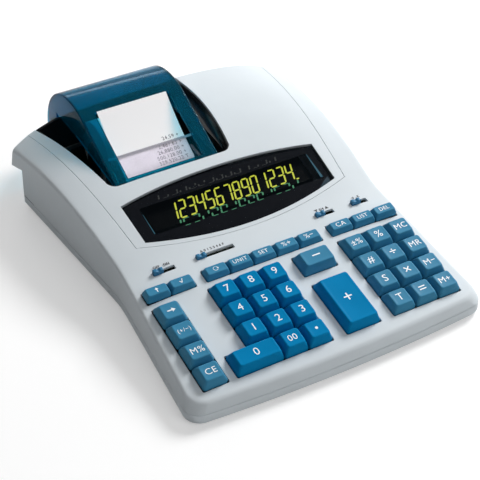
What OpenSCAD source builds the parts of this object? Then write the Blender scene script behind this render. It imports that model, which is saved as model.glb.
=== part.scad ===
// Desktop printing calculator: housing, keyboard, display and paper printer.
// X runs to the right, Y to the back, Z up from the table.
// Distances along Y are counted from the front edge of the key openings, and one shift at the
// end puts the origin under the middle of the whole machine.

/* [Housing] */
// Width across the front corners, at the base
front_width = 230; // [224:1:240]
// Width at the waist, beside the display
waist_width = 209; // [207:1:214]
// Width across the rear corners, at the base
rear_width = 237; // [230:1:244]
// Base edge in front of the key openings, at the middle
front_margin = 15; // [14:0.5:20]
// How far the front edge bows out between its corners
front_bow = 5; // [3:0.5:7]
// Waist behind the front of the key openings
waist_y = 115; // [113:1:118]
// Rear edge behind the front of the key openings, at the middle
rear_y = 296; // [292:1:298]
// How far the rear edge bows out between its corners, at the base
rear_bow = 9; // [8:0.5:12]
// How far the rear edge bows out between its corners, at the top
rear_top_bow = 15; // [12:0.5:18]
// How far the crease at the top of the front wall bows out between its corners
crease_bow = 4; // [3:0.5:6]
// Radius of the front corners in plan, at the base
front_corner_r = 12; // [10:1:16]
// Radius of the front corners in plan, at the crease
crease_corner_r = 13; // [10:1:16]
// Radius of the rear corners in plan
rear_corner_r = 6; // [5:0.5:9]
// Wall of the shells
wall = 2.5; // [2.2:0.1:3]
// How far the front wall leans in, from base to deck
front_lean = 5; // [4:0.5:7]
// How far the side walls lean in at the front corners
side_lean = 5; // [4:0.5:7]
// How far the side walls lean in at the waist
waist_lean = 0.8; // [0.6:0.1:1.5]
// How far the side walls lean in at the rear corners
rear_side_lean = 2.5; // [2:0.5:5]
// How far the rear wall leans in
rear_lean = 6; // [5:0.5:8]
// Joint between the two shells above the table
parting_z = 10; // [9:0.5:11]
// Gap at the joints between the shells
seam_gap = 0.3; // [0.2:0.1:0.5]
// Underside of the overhang at the rear, above the table
lip_z = 24; // [22:1:26]
// Slope of the overhang's underside, rising to the front
lip_tilt = 17; // [12:1:18]
// Depth of the overhang at the rear, at the middle
lip_depth = 14; // [12:0.5:15]
// How far the wall under the overhang bows out between its corners
recess_bow = 22; // [20:0.5:24]
// Floor of the lower shell
floor_t = 2.5; // [2:0.1:3]

/* [Top surface] */
// Deck above the table, at the front of the key openings
deck_z = 19; // [18.5:0.5:22]
// Slope of the keyboard deck
deck_tilt = 9.5; // [8.5:0.5:10.5]
// Front of the display panel
display_y = 112; // [110:1:114]
// Slope of the display panel
display_tilt = 13.6; // [12.6:0.2:14.6]
// Back of the display panel
display_end_y = 165; // [162:1:168]
// Radius of the crown behind the display
crown_r = 300; // [280:5:330]
// Fall of the side bands at the front
front_fall = 1.5; // [1:0.5:3]
// Fall of the side bands beside the display
display_fall = 3; // [2:0.5:4]
// Fall of the side bands at the rear
rear_fall = 12.5; // [8:0.5:14]

/* [Upper cover] */
// Front of the cover at the middle
seam_y = 111.5; // [110:0.5:113]
// Front corners of the cover behind its middle
seam_bow = 14.5; // [12:0.5:17]
// Half width of the cover at its front corners
seam_half = 85.5; // [83:0.5:88]
// How much each side of the cover spreads for each millimetre back
seam_spread = 0.106; // [0.06:0.002:0.12]
// Front of the display window at the middle
window_y = 115; // [114:0.5:117]
// Front corners of the window behind its middle
window_front_bow = 12.5; // [10:0.5:14]
// Half width of the window at the front
window_half = 77; // [74:0.5:79]
// Depth of the window at the middle
window_depth = 56; // [52:0.5:58]
// Bow of the window's rear edge
window_rear_bow = 7.5; // [5:0.5:10]
// Window plate thickness
window_t = 1.8; // [1.5:0.1:2.5]
// Window below the cover's face
window_recess = 0.8; // [0.6:0.1:1.2]
// Clearance round the window plate
window_gap = 0.2; // [0.1:0.05:0.4]
// Rim under the cover that carries the window
window_rim = 2; // [1.5:0.5:3]

/* [Display tube] */
// Length of the tube
tube_length = 136; // [120:1:140]
// Height of the tube
tube_height = 24; // [20:1:28]
// Thickness of the tube
tube_t = 7; // [5:0.5:9]
// Face of the tube below the panel
tube_drop = 9; // [8:0.5:11]
// Middle of the tube behind the front of the panel
tube_v = 40; // [38:0.5:42]

/* [Keyboard] */
// Spacing of the keys
key_pitch = 18.5; // [18:0.1:18.8]
// Gap between neighbouring keys
key_gap = 0.6; // [0.4:0.1:0.8]
// Gap between a block of keys and its opening
opening_gap = 0.5; // [0.4:0.1:0.8]
// Digit, plus and minus key face above the deck
key_height = 8; // [7:0.5:9]
// Operator key face above the deck
low_key_height = 6.4; // [6:0.2:7]
// Function key face above the deck
function_key_height = 4.5; // [4:0.5:5.5]
// Depth of the function keys
function_key_depth = 10.4; // [9.5:0.1:11]
// Spacing of the function keys
function_key_width = 18.5; // [18:0.1:18.8]
// Gap between the key blocks and the function keys
function_row_gap = 5.8; // [5:0.1:7]
// How far a key's face stands back from its skirt at the sides
key_side = 2.4; // [2:0.1:3]
// How far a key's face stands back from its skirt at the front
key_front = 1.8; // [1.4:0.1:2.4]
// How far a key's face stands back from its skirt at the rear
key_rear = 3.4; // [2.6:0.1:3.8]
// How far a function key's face stands back from its skirt all round
function_key_slope = 1.4; // [1:0.1:1.8]
// Travel of the keys
key_travel = 3; // [2:0.5:3]
// Hollow in the key faces
key_dish = 0.5; // [0.3:0.1:0.7]
// Left edge of the left column
left_column_x = -100.3; // [-101:0.1:-100]
// Left edge of the digit block
digit_x = -58.4; // [-59:0.1:-57]
// Width of the zero key
zero_width = 35.5; // [34:0.5:36]
// Left edge of the plus and minus keys
plus_x = 7.8; // [6:0.1:9]
// Width of the plus and minus keys
plus_width = 27; // [25:0.5:28]
// Depth of the plus key
plus_depth = 46.5; // [44:0.5:48]
// Right edge of the right block
operator_end_x = 100.8; // [100:0.1:101]
// Left edge of the five function keys
middle_row_x = -55.1; // [-56:0.1:-54]

/* [Slide switches] */
// Slot width along the deck
slot_width = 3.8; // [3.4:0.1:4.4]
// Middle of the slots behind the function keys
slot_gap = 11.8; // [10.8:0.1:12.8]
// Knob length
knob_length = 7.2; // [6:0.2:8]
// Knob above the deck
knob_height = 2.6; // [2:0.1:4]
// Clearance round a knob
knob_gap = 0.3; // [0.2:0.05:0.5]

/* [Printer] */
// Middle of the paper
printer_x = -32; // [-34:0.5:-30]
// Front of the printer well
well_y = 181; // [180:0.5:183]
// Left edge of the well at the front
well_left = -79; // [-81:0.5:-78]
// Right edge of the well at the front
well_right = 21.5; // [20:0.5:28]
// How much the left side of the well spreads towards the back
well_spread = 19; // [8:1:20]
// How much the right side of the well curves out
well_right_spread = 7.3; // [4:0.1:10]
// Length of that curve
well_bend = 75; // [60:1:90]
// Radius of the well's front corners
well_corner_r = 8; // [6:0.5:12]
// Clearance round the tub
tub_gap = 0.4; // [0.3:0.1:0.6]
// Wall of the tub
tub_wall = 2; // [1.6:0.1:2.4]
// Top of the tub's sides above the table
tub_top = 50; // [48:0.5:51]
// Top of the tub's rear wall above the table
tub_rear_top = 54; // [52:0.5:55]
// How much the rear wall falls with the cover towards its left end
tub_end_fall = 4.5; // [2:0.5:6]
// Paper width
paper_width = 57; // [56:0.5:58]
// Paper roll radius
roll_r = 25.5; // [18:0.5:26]
// Paper roll core radius
core_r = 6; // [5:0.5:7]
// Paper roll axis behind the key openings
roll_y = 247; // [246:0.5:248]
// Paper roll axis above the table
roll_z = 36.5; // [36:0.5:38]
// Clearance of the turning fits
fit_gap = 0.06; // [0.03:0.01:0.1]

/* [Hood] */
// Width of the hood
hood_width = 84; // [82:0.5:86]
// Radius of the hood
hood_r = 54.5; // [53:0.5:56]
// Centre of the hood's curve behind the key openings
hood_y = 257; // [256:0.5:258]
// Centre of the hood's curve above the table
hood_z = 27; // [26:0.5:28]
// Slope of the hood's front
hood_tilt = 24.5; // [23:0.5:26]
// Wall of the hood
hood_wall = 2; // [1.6:0.1:2.4]
// Front lip of the hood
hood_lip = 2.5; // [2:0.5:5]
// Width of the paper opening in the hood
hood_opening = 64; // [62:0.5:66]
// Hinge axis behind the key openings
hinge_y = 303; // [302:0.5:304]
// Hinge axis above the table
hinge_z = 36; // [35.5:0.5:37]
// Hinge pin radius
hinge_pin_r = 2; // [1.5:0.1:2.2]

/* [Feet and screws] */
// Height of the feet
foot_height = 2.5; // [2:0.5:4]
// Radius of the feet
foot_r = 7; // [5:0.5:9]
// Radius of the screw shanks
screw_r = 1.4; // [1.2:0.1:1.6]
// Length of the screws
screw_length = 14; // [12:0.5:15]

/* [Hidden] */
$fn = 48;
eps = 0.01;
far = 400;

// Steps along the plan outline, from the middle of the front round to the middle of the rear
front_steps = 4;
corner_steps = 4;
side_front_steps = 5;
side_rear_steps = 8;
rear_steps = 5;
// Smallest radius of a rear corner
corner_min = 0.5;
// Steps across the top surface
cross_steps = 10;
// Rounded shoulder of the walls: share of the lean, share of the height
shoulder = [[0, 0], [0.6, 0.8], [0.8, 0.95], [1, 1]];
// The side bands fall away with this power of the distance from the middle
band_power = 5;
// Where the side bands start to fall further, and where they are lowest
band_start_y = 150;
band_end_y = 260;

floor_z = foot_height + floor_t;
display_z = deck_z + display_y * tan(deck_tilt);
display_end_z = display_z + (display_end_y - display_y) * tan(display_tilt);
apex_y = display_end_y + crown_r * sin(display_tilt);
apex_z = display_end_z + crown_r * (1 - cos(display_tilt));

crease_front = front_width - 2 * side_lean;
crease_waist = waist_width - 2 * waist_lean;
crease_rear = rear_width - 2 * rear_side_lean;

// Slope of the paper tail, and a point on it
paper_slope = 0.702;
paper_y = 193;
paper_z = 46;
paper_end_y = 239.8;
paper_t = 0.3;
paper_start_z = 34;

hood_tangent_y = hood_y - hood_r * sin(hood_tilt);
hood_tangent_z = hood_z + hood_r * cos(hood_tilt);
hood_front_y = well_y + 1.5;
hood_foot_z = 32;
hood_rim_clear = 3.5;
hood_back_gap = 0.25;
hood_rim_setback = 9;
hood_rim_back = hinge_y - hood_rim_setback;
hood_rear = hood_y + sqrt(pow(hood_r, 2) - pow(hood_foot_z - hood_z, 2));

// The machine reaches from the front edge of the base to the back of the hood
shift_y = -(hood_rear - front_margin) / 2;

// Board and mat under the keys, as depths below the deck
skirt_w = -1.5;
skirt_top_w = 0.8;
stem_gap = 0.2;
board_t = 1.6;
board_w = -9;
mat_t = 1;
dome_h = 3.3;
stem_w = board_w + mat_t + dome_h + stem_gap;
dome_r = 4.5;
dome_top_r = 3;
mat_margin = 0.5;
board_half = max(-left_column_x, operator_end_x) - key_pitch / 2 + dome_r + 2 * mat_margin;
board_front_v = -2;
board_back_margin = 6;
function_row_v = 4 * key_pitch + function_row_gap;
slot_v = function_row_v + function_key_depth + slot_gap;
board_back_v = slot_v + board_back_margin;
mat_back_v = function_row_v + function_key_depth + 2 * mat_margin;
switch_body_w = -5.4;

post_r = 3.5;
boss_r = 4.5;
boss_h = 4;
post_hole_gap = 1;
screw_head_r = 3;
screw_head_h = 2;
screw_gap = 0.1;

// Slide switches: name, left end of the slot, length of the slot
switches = [["switch_print", -85.5, 17], ["switch_decimal", -52.3, 29.8],
    ["switch_rounding", 44.4, 15.4], ["switch_mode", 74.6, 14]];

// Places of the screws, feet, cover posts and board posts, as [x, y]
// The front posts stand between the slots of neighbouring switches
front_posts = [for (i = [0, 2])
    [(switches[i][1] + switches[i][2] + switches[i + 1][1]) / 2, slot_v * cos(deck_tilt)]];
rear_posts = [[-101, 205], [101, 205]];
screw_places = concat(front_posts, rear_posts);
foot_places = [[-92, 5], [92, 5], [-98, 235], [98, 235]];
cover_posts = [[-60, 175.5], [60, 175.5], [65, 255]];
board_posts = [[-80, 8], [80, 8], [-80, 96], [80, 96]];

// Inlet for the lead in the rear wall
inlet_x = 70;
inlet_z = 15;
inlet_r = 4;
inlet_boss_r = 7;
inlet_boss_t = 4;

// Printer parts
cheek_gap = 1.5;
cheek_t = 2.5;
cheek_z = 44;
cheek_half_y = 11;
stub_length = 9;
roller_y = 200;
roller_z = 37;
roller_r = 6.5;
roller_shaft_r = 2;
frame_gap = 5;
frame_half = paper_width / 2 + frame_gap;
frame_t = 2.5;
frame_front_y = 187;
frame_back_y = 213;
frame_z = 44;
gear_r = 7.5;
gear_teeth = 18;
gear_t = 3;
gear_root = 1.2;
ear_t = 4;
ear_r = 4;
ear_gap = 0.5;
tear_front_y = 191;
tear_back_y = 211;
tear_t = 1.6;
tear_lift = 0.6;
tear_arm_t = 3;
tear_arm_gap = 0.1;

// Keys: name, left edge, front edge, width, depth, kind
left_column = ["key_clear_entry", "key_margin", "key_sign_change", "key_right_shift"];
digit_rows = [["", "key_double_zero", "key_point"], ["key_1", "key_2", "key_3"],
    ["key_4", "key_5", "key_6"], ["key_7", "key_8", "key_9"]];
operator_rows = [["key_total", "key_equals", "key_memory_plus"],
    ["key_subtotal", "key_times", "key_memory_minus"],
    ["key_number_date", "key_divide", "key_memory_recall"],
    ["key_change_percent", "key_percent", "key_memory_clear"]];
left_functions = ["key_paper_feed", "key_root"];
middle_functions = ["key_convert", "key_local", "key_rate", "key_tax_plus", "key_tax_minus"];
right_functions = ["key_all_clear", "key_recall", "key_void"];
minus_v = 3 * key_pitch;
operator_x = operator_end_x - 3 * key_pitch;
right_row_x = operator_end_x - len(right_functions) * function_key_width;

block_keys = concat(
    [for (r = [0:3]) [left_column[r], left_column_x, r * key_pitch, key_pitch, key_pitch, "low"]],
    [for (r = [0:3], c = [0:2]) if (digit_rows[r][c] != "")
        [digit_rows[r][c], digit_x + c * key_pitch, r * key_pitch, key_pitch, key_pitch, "tall"]],
    [["key_0", digit_x + key_pitch - zero_width, 0, zero_width, key_pitch, "tall"]],
    [["key_plus", plus_x, 0, plus_width, plus_depth, "tall"]],
    [["key_minus", plus_x, minus_v, plus_width, key_pitch, "tall"]],
    [for (r = [0:3], c = [0:2])
        [operator_rows[r][c], operator_x + c * key_pitch, r * key_pitch, key_pitch, key_pitch, "low"]]);

function function_keys(names, x) = [for (i = [0:len(names) - 1])
    [names[i], x + i * function_key_width, function_row_v, function_key_width, function_key_depth, "flat"]];

keys = concat(block_keys, function_keys(left_functions, left_column_x),
    function_keys(middle_functions, middle_row_x), function_keys(right_functions, right_row_x));

// Openings in the deck: left edge, front edge, width, depth
key_openings = [
    [left_column_x, 0, key_pitch, 4 * key_pitch],
    [digit_x, 0, 3 * key_pitch, 4 * key_pitch],
    [digit_x + key_pitch - zero_width, 0, zero_width, key_pitch],
    [plus_x, 0, plus_width, plus_depth],
    [plus_x, minus_v, plus_width, key_pitch],
    [operator_x, 0, 3 * key_pitch, 4 * key_pitch],
    [left_column_x, function_row_v, 2 * function_key_width, function_key_depth],
    [middle_row_x, function_row_v, 5 * function_key_width, function_key_depth],
    [right_row_x, function_row_v, 3 * function_key_width, function_key_depth]];

function mix(a, b, t) = a + (b - a) * t;
function limit(t) = min(1, max(0, t));

// Height of the top surface along the middle of the machine
function spine_z(y) =
    y < display_y ? deck_z + y * tan(deck_tilt)
    : y < display_end_y ? display_z + (y - display_y) * tan(display_tilt)
    : apex_z - crown_r + sqrt(pow(crown_r, 2) - pow(y - apex_y, 2));

// Half width between the creases of the side walls
function crease_half(y) = y < waist_y
    ? mix(crease_front, crease_waist, limit(y / waist_y)) / 2
    : mix(crease_waist, crease_rear, limit((y - waist_y) / (rear_y - waist_y))) / 2;

function band_fall(y) = y < band_start_y
    ? mix(front_fall, display_fall, limit(y / display_y))
    : mix(display_fall, rear_fall, (y - band_start_y) / (band_end_y - band_start_y));

function top_z(x, y) = spine_z(y) - band_fall(y) * pow(abs(x) / crease_half(y), band_power);

// Right half of a plan outline, from the middle of the front to the middle of the rear
function half_outline(fw, ww, rw, fy, ry, fbow, rbow, fr, rr) =
    let (fx = fw / 2 - fr, rx = rw / 2 - rr,
        fcy = fy + fbow * pow(2 * fx / fw, 2) + fr,
        rcy = ry - rbow * pow(2 * rx / rw, 2) - rr)
    concat(
        [for (i = [0:front_steps - 1]) let (x = fx * i / front_steps)
            [x, fy + fbow * pow(2 * x / fw, 2)]],
        [for (i = [0:corner_steps]) let (a = 90 * i / corner_steps - 90)
            [fx + fr * cos(a), fcy + fr * sin(a)]],
        [for (i = [1:side_front_steps]) let (t = i / side_front_steps)
            [mix(fw, ww, t) / 2, mix(fcy, waist_y, t)]],
        [for (i = [1:side_rear_steps]) let (t = i / side_rear_steps)
            [mix(ww, rw, t) / 2, mix(waist_y, rcy, t)]],
        [for (i = [1:corner_steps]) let (a = 90 * i / corner_steps)
            [rx + rr * cos(a), rcy + rr * sin(a)]],
        [for (i = [1:rear_steps]) let (x = rx * (1 - i / rear_steps))
            [x, ry - rbow * pow(2 * x / rw, 2)]]);

// Closed outline from its right half
function both_sides(half) = concat(half, [for (i = [len(half) - 2:-1:1]) [-half[i][0], half[i][1]]]);

// Outline of the base, drawn in by d
function base_half(d) = half_outline(front_width - 2 * d, waist_width - 2 * d, rear_width - 2 * d,
    d - front_margin, rear_y - d, front_bow, rear_bow, front_corner_r - d,
    max(corner_min, rear_corner_r - d));

// Outline of the crease at the top of the walls, drawn in by d
function crease_half_outline(d) = half_outline(crease_front - 2 * d, crease_waist - 2 * d,
    crease_rear - 2 * d, d + front_lean - front_margin, rear_y - rear_lean - d,
    crease_bow, rear_top_bow, crease_corner_r - d,
    max(corner_min, rear_corner_r - rear_side_lean - d));

// Walls and top surface of one side of the shell, drawn in by d and lowered by d
function skin_points(d) =
    let (base = both_sides(base_half(d)), half = crease_half_outline(d), crease = both_sides(half),
        n = len(half))
    concat(
        [for (s = shoulder, i = [0:len(base) - 1])
            let (p = mix(base[i], crease[i], s[0]), z = top_z(crease[i][0], crease[i][1]) - d)
            [p[0], p[1], mix(parting_z, z, s[1])]],
        [for (i = [1:n - 2], j = [1:cross_steps - 1])
            let (x = half[i][0] * (2 * j / cross_steps - 1))
            [x, half[i][1], top_z(x, half[i][1]) - d]]);

ring = len(both_sides(base_half(0)));
half_ring = len(base_half(0));
levels = len(shoulder);
skin_size = len(skin_points(0));

// Place of a point of the top surface in the list of points
function top_index(i, j) =
    j == 0 ? (levels - 1) * ring + (ring - i) % ring
    : j == cross_steps ? (levels - 1) * ring + i
    : levels * ring + (i - 1) * (cross_steps - 1) + j - 1;

function turned(faces, flip) = flip ? [for (f = faces) [f[0], f[2], f[1]]] : faces;

function wall_faces() = [for (k = [0:levels - 2], i = [0:ring - 1])
    let (a = k * ring + i, b = k * ring + (i + 1) % ring)
    each [[a, a + ring, b + ring], [a, b + ring, b]]];

function top_faces() = concat(
    [for (j = [0:cross_steps - 1])
        [(levels - 1) * ring, top_index(1, j), top_index(1, j + 1)]],
    [for (i = [1:half_ring - 3], j = [0:cross_steps - 1])
        each [[top_index(i, j), top_index(i + 1, j), top_index(i + 1, j + 1)],
            [top_index(i, j), top_index(i + 1, j + 1), top_index(i, j + 1)]]],
    [for (j = [0:cross_steps - 1])
        [top_index(half_ring - 2, j), (levels - 1) * ring + half_ring - 1,
            top_index(half_ring - 2, j + 1)]]);

function rim_faces() = [for (i = [0:ring - 1])
    let (b = (i + 1) % ring)
    each [[i, b, skin_size + b], [i, skin_size + b, skin_size + i]]];

// The whole upper shell before it is parted into top case and cover
module upper_shell() {
    skin = concat(wall_faces(), top_faces());
    inner = [for (f = turned(skin, true)) [for (v = f) v + skin_size]];
    polyhedron(concat(skin_points(0), skin_points(wall)), concat(skin, inner, rim_faces()),
        convexity = 8);
}

module machine() { translate([0, shift_y, 0]) children(); }
module on_deck() { translate([0, 0, deck_z]) rotate([deck_tilt, 0, 0]) children(); }
module on_display() { translate([0, display_y, display_z]) rotate([display_tilt, 0, 0]) children(); }
// Turns a profile drawn in Y and Z into a solid of width w about x
module across(x, w) { translate([x - w / 2, 0, 0]) rotate([90, 0, 90]) linear_extrude(w) children(); }
module shaft(x, y, z, r, w) { translate([x - w / 2, y, z]) rotate([0, 90, 0]) cylinder(r = r, h = w); }

// Curve of the recessed rear wall
function recess_y(x) = rear_y - lip_depth - recess_bow * pow(2 * x / rear_width, 2);
recess_steps = 16;
recess_over = 5;
recess_half = rear_width / 2 + recess_over;
function recess_line(d) = [for (i = [0:recess_steps])
    let (x = recess_half * (2 * i / recess_steps - 1)) [x, recess_y(x) - d]];

// Everything behind the recessed rear wall, moved forward by d
module behind_recess(d) {
    polygon(concat(recess_line(d), [[recess_half, rear_y + lip_depth], [-recess_half, rear_y + lip_depth]]));
}

// Everything below the underside of the overhang, lowered by d
function lip_line(y) = lip_z - (y - rear_y + rear_bow) * tan(lip_tilt);
module under_lip(d) {
    back_y = rear_y + lip_depth;
    across(0, far) polygon([[waist_y, -1], [back_y, -1], [back_y, lip_line(back_y) - d],
        [waist_y, lip_line(waist_y) - d]]);
}

module rear_recess() {
    intersection() {
        translate([0, 0, -1]) linear_extrude(far) behind_recess(0);
        under_lip(0);
    }
}

function chord_r(half, bow) = (pow(half, 2) + pow(bow, 2)) / (2 * bow);

// Outline of the upper cover, drawn in by d
module seam_outline(d) {
    r = chord_r(seam_half, seam_bow);
    front = seam_half - seam_spread * (seam_y + seam_bow) - d;
    back_y = rear_y + lip_depth;
    back = front + seam_spread * back_y;
    intersection() {
        translate([0, seam_y + r]) circle(r = r - d);
        polygon([[-front, 0], [front, 0], [back, back_y], [-back, back_y]]);
    }
}

// Outline of the display window, drawn in by d
module window_outline(d) {
    front_r = chord_r(window_half, window_front_bow);
    rear_r = chord_r(window_half, window_rear_bow);
    spread = 2;
    side = window_half - d;
    intersection() {
        translate([0, window_y + front_r]) circle(r = front_r - d);
        translate([0, window_y + window_depth - rear_r]) circle(r = rear_r - d);
        polygon([[-side, window_y], [side, window_y], [side + spread, window_y + window_depth],
            [-side - spread, window_y + window_depth]]);
    }
}

// Outline of the printer well, drawn in by d
module well_outline(d, back_y) {
    r = well_corner_r - d;
    y = well_y + well_corner_r;
    left = well_left + well_corner_r;
    right = well_right - well_corner_r;
    spread = well_spread * (back_y - y) / (rear_y - y);
    corner_points = 6;
    bend_points = 8;
    polygon(concat(
        [for (i = [0:corner_points]) let (a = 180 + 90 * i / corner_points)
            [left + r * cos(a), y + r * sin(a)]],
        [for (i = [0:corner_points]) let (a = 270 + 90 * i / corner_points)
            [right + r * cos(a), y + r * sin(a)]],
        [for (i = [1:bend_points]) let (t = 1 - i / bend_points)
            [well_right + well_right_spread * (1 - t * t) - d, y + well_bend * (1 - t)]],
        [[well_right + well_right_spread - d, back_y], [well_left - spread + d, back_y]]));
}

module display_slab(low, high) {
    on_display() translate([-far / 2, -far / 2, low]) cube([far, far, high - low]);
}

module prism() { linear_extrude(far / 2) children(); }

module opening(o) {
    translate([o[0] - opening_gap, o[1] - opening_gap, -far / 2])
        cube([o[2] + 2 * opening_gap, o[3] + 2 * opening_gap, far]);
}

module slot(s) {
    translate([s[1], slot_v - slot_width / 2, -far / 2]) cube([s[2], slot_width, far]);
}

// Post from z to the underside of the top surface
module post(p, z) {
    translate([p[0], p[1], z]) cylinder(r = post_r, h = top_z(p[0], p[1]) - wall / 2 - z);
}

module screw_hole(p, z) { translate([p[0], p[1], z]) cylinder(r = screw_r + screw_gap, h = screw_length); }

module top_case() {
    color("gainsboro") machine() {
        difference() {
            union() {
                difference() {
                    upper_shell();
                    prism() seam_outline(-seam_gap / 2);
                    on_deck() for (o = key_openings) opening(o);
                    on_deck() for (s = switches) slot(s);
                    rear_recess();
                }
                for (p = screw_places) post(p, floor_z + boss_h);
            }
            for (p = screw_places) screw_hole(p, floor_z);
        }
    }
}

module window_frame() {
    low = -window_recess - window_t;
    rim_width = 3;
    difference() {
        intersection() {
            prism() window_outline(-rim_width);
            display_slab(low - window_rim, -wall / 2);
        }
        intersection() {
            prism() window_outline(-window_gap);
            display_slab(low, wall);
        }
        prism() window_outline(rim_width - 1);
    }
}

// Hooks under the window rim that hold the ends of the display tube
module tube_hook(side) {
    hook_t = 2.5;
    shelf = 6;
    half = tube_length / 2 + window_gap;
    top = -window_recess - window_t - window_rim / 2;
    low = -tube_drop - tube_t;
    depth = tube_height - 4;
    on_display() translate([0, tube_v - depth / 2, 0]) mirror([side, 0, 0]) {
        translate([half, 0, low - hook_t]) cube([window_half - half, depth, top - low + hook_t]);
        translate([half - shelf, 0, low - hook_t]) cube([shelf + hook_t, depth, hook_t]);
    }
}

module upper_cover() {
    color("gainsboro") machine() {
        difference() {
            intersection() {
                upper_shell();
                prism() seam_outline(seam_gap / 2);
            }
            prism() window_outline(-window_gap);
            prism() well_outline(0, rear_y + lip_depth);
            rear_recess();
        }
        window_frame();
        tube_hook(0);
        tube_hook(1);
        for (p = cover_posts) post(p, floor_z);
    }
}

module display_window() {
    color([0.06, 0.08, 0.1]) machine() intersection() {
        prism() window_outline(0);
        display_slab(-window_recess - window_t, -window_recess);
    }
}

module display_tube() {
    pip_r = 2;
    pip_length = 3;
    color([0.15, 0.22, 0.2]) machine() on_display() translate([0, tube_v, -tube_drop - tube_t]) {
        translate([-tube_length / 2, -tube_height / 2, 0]) cube([tube_length, tube_height, tube_t]);
        translate([0, tube_height / 2 - eps, tube_t / 2]) rotate([-90, 0, 0])
            cylinder(r = pip_r, h = pip_length);
    }
}

module bottom_case() {
    wall_top = parting_z - seam_gap;
    inner = 4 * seam_gap + wall;
    ledge_gap = 3;
    color("silver") machine() difference() {
        union() {
            difference() {
                translate([0, 0, foot_height]) linear_extrude(wall_top - foot_height)
                    polygon(both_sides(base_half(0)));
                translate([0, 0, floor_z]) linear_extrude(far) polygon(both_sides(base_half(wall)));
                rear_recess();
            }
            // Recessed rear wall
            intersection() {
                translate([0, 0, foot_height]) linear_extrude(far / 4) intersection() {
                    polygon(both_sides(base_half(inner)));
                    difference() {
                        behind_recess(wall);
                        behind_recess(0);
                    }
                }
                under_lip(0);
            }
            // Ledge that closes the overhang from below
            intersection() {
                linear_extrude(far / 4) intersection() {
                    polygon(both_sides(base_half(inner + ledge_gap)));
                    behind_recess(wall);
                }
                difference() {
                    under_lip(0);
                    under_lip(floor_t);
                }
            }
            for (p = screw_places) translate([p[0], p[1], foot_height])
                cylinder(r = boss_r, h = floor_t + boss_h - seam_gap);
            for (p = board_posts) board_post(p);
            translate([inlet_x, recess_y(inlet_x) - wall / 2, inlet_z]) rotate([90, 0, 0])
                cylinder(r = inlet_boss_r, h = inlet_boss_t);
        }
        for (p = screw_places) {
            screw_hole(p, 0);
            translate([p[0], p[1], 0])
                cylinder(r = screw_head_r + screw_gap, h = foot_height + screw_head_h + screw_gap);
        }
        translate([inlet_x, rear_y, inlet_z]) rotate([90, 0, 0])
            cylinder(r = inlet_r, h = far / 5);
    }
}

// Post on the floor, cut to the slope of the circuit board
module board_post(p) {
    difference() {
        translate([p[0], p[1], foot_height]) cylinder(r = post_r, h = far / 8);
        on_deck() translate([-far / 2, -far / 2, board_w - board_t]) cube(far);
    }
}

module circuit_board() {
    body_margin = 2.5;
    color("darkgreen") difference() {
        machine() on_deck() {
            translate([-board_half, board_front_v, board_w - board_t])
                cube([2 * board_half, board_back_v - board_front_v, board_t]);
            for (s = switches) translate([s[1] - body_margin, slot_v - slot_width, board_w - eps])
                cube([s[2] + 2 * body_margin, 2 * slot_width, switch_body_w - board_w]);
        }
        for (p = front_posts) machine() translate([p[0], p[1], 0])
            cylinder(r = post_r + post_hole_gap, h = far / 4);
    }
}

function key_centre(k) = [k[1] + k[3] / 2, k[2] + k[4] / 2];

module key_mat() {
    color("lightgray") machine() on_deck() {
        translate([mat_margin - board_half, board_front_v + mat_margin, board_w])
            cube([2 * (board_half - mat_margin), mat_back_v - board_front_v - mat_margin, mat_t]);
        for (k = keys) translate([key_centre(k)[0], key_centre(k)[1], board_w + mat_t - eps])
            cylinder(r1 = dome_r, r2 = dome_top_r, h = dome_h + eps);
    }
}

// Key cap: skirt, sloping sides, hollow face, open underside and stem
module key(k) {
    flat = k[5] == "flat";
    w = k[3] - key_gap;
    d = k[4] - key_gap;
    h = flat ? function_key_height : k[5] == "low" ? low_key_height : key_height;
    side = flat ? function_key_slope : key_side;
    front = flat ? function_key_slope : key_front;
    rear = flat ? function_key_slope : key_rear;
    cap_t = flat ? 1.8 : 2.4;
    shell_t = 1.3;
    stem_r = 1.8;
    stem_root = 1;
    dish_rim = 0.3;
    dish_r = (pow(w / 2 - side - dish_rim, 2) + pow(key_dish, 2)) / (2 * key_dish);
    translate([key_centre(k)[0], key_centre(k)[1], 0]) {
        difference() {
            intersection() {
                translate([0, d / 2, 0]) rotate([90, 0, 0]) linear_extrude(d)
                    polygon([[-w / 2, skirt_w], [w / 2, skirt_w], [w / 2, skirt_top_w],
                        [w / 2 - side, h], [side - w / 2, h], [-w / 2, skirt_top_w]]);
                across(0, w) polygon([[-d / 2, skirt_w], [d / 2, skirt_w], [d / 2, skirt_top_w],
                    [d / 2 - rear, h], [front - d / 2, h], [-d / 2, skirt_top_w]]);
            }
            translate([0, d, h + dish_r - key_dish]) rotate([90, 0, 0])
                cylinder(r = dish_r, h = 2 * d, $fn = 96);
            translate([side + shell_t - w / 2, front + shell_t - d / 2, skirt_w - eps])
                cube([w - 2 * side - 2 * shell_t, d - front - rear - 2 * shell_t, h - cap_t - skirt_w]);
        }
        translate([0, (front - rear) / 2, stem_w])
            cylinder(r = stem_r, h = h - key_dish - stem_root - stem_w);
    }
}

module key_cap(k) {
    vivid = search([k[0]], ["key_0", "key_1", "key_2", "key_3", "key_4", "key_5", "key_6", "key_7",
        "key_8", "key_9", "key_double_zero", "key_point", "key_plus"])[0] != [];
    color(vivid ? [0, 0.47, 0.7] : [0.3, 0.53, 0.66]) machine() on_deck() key(k);
}

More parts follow.
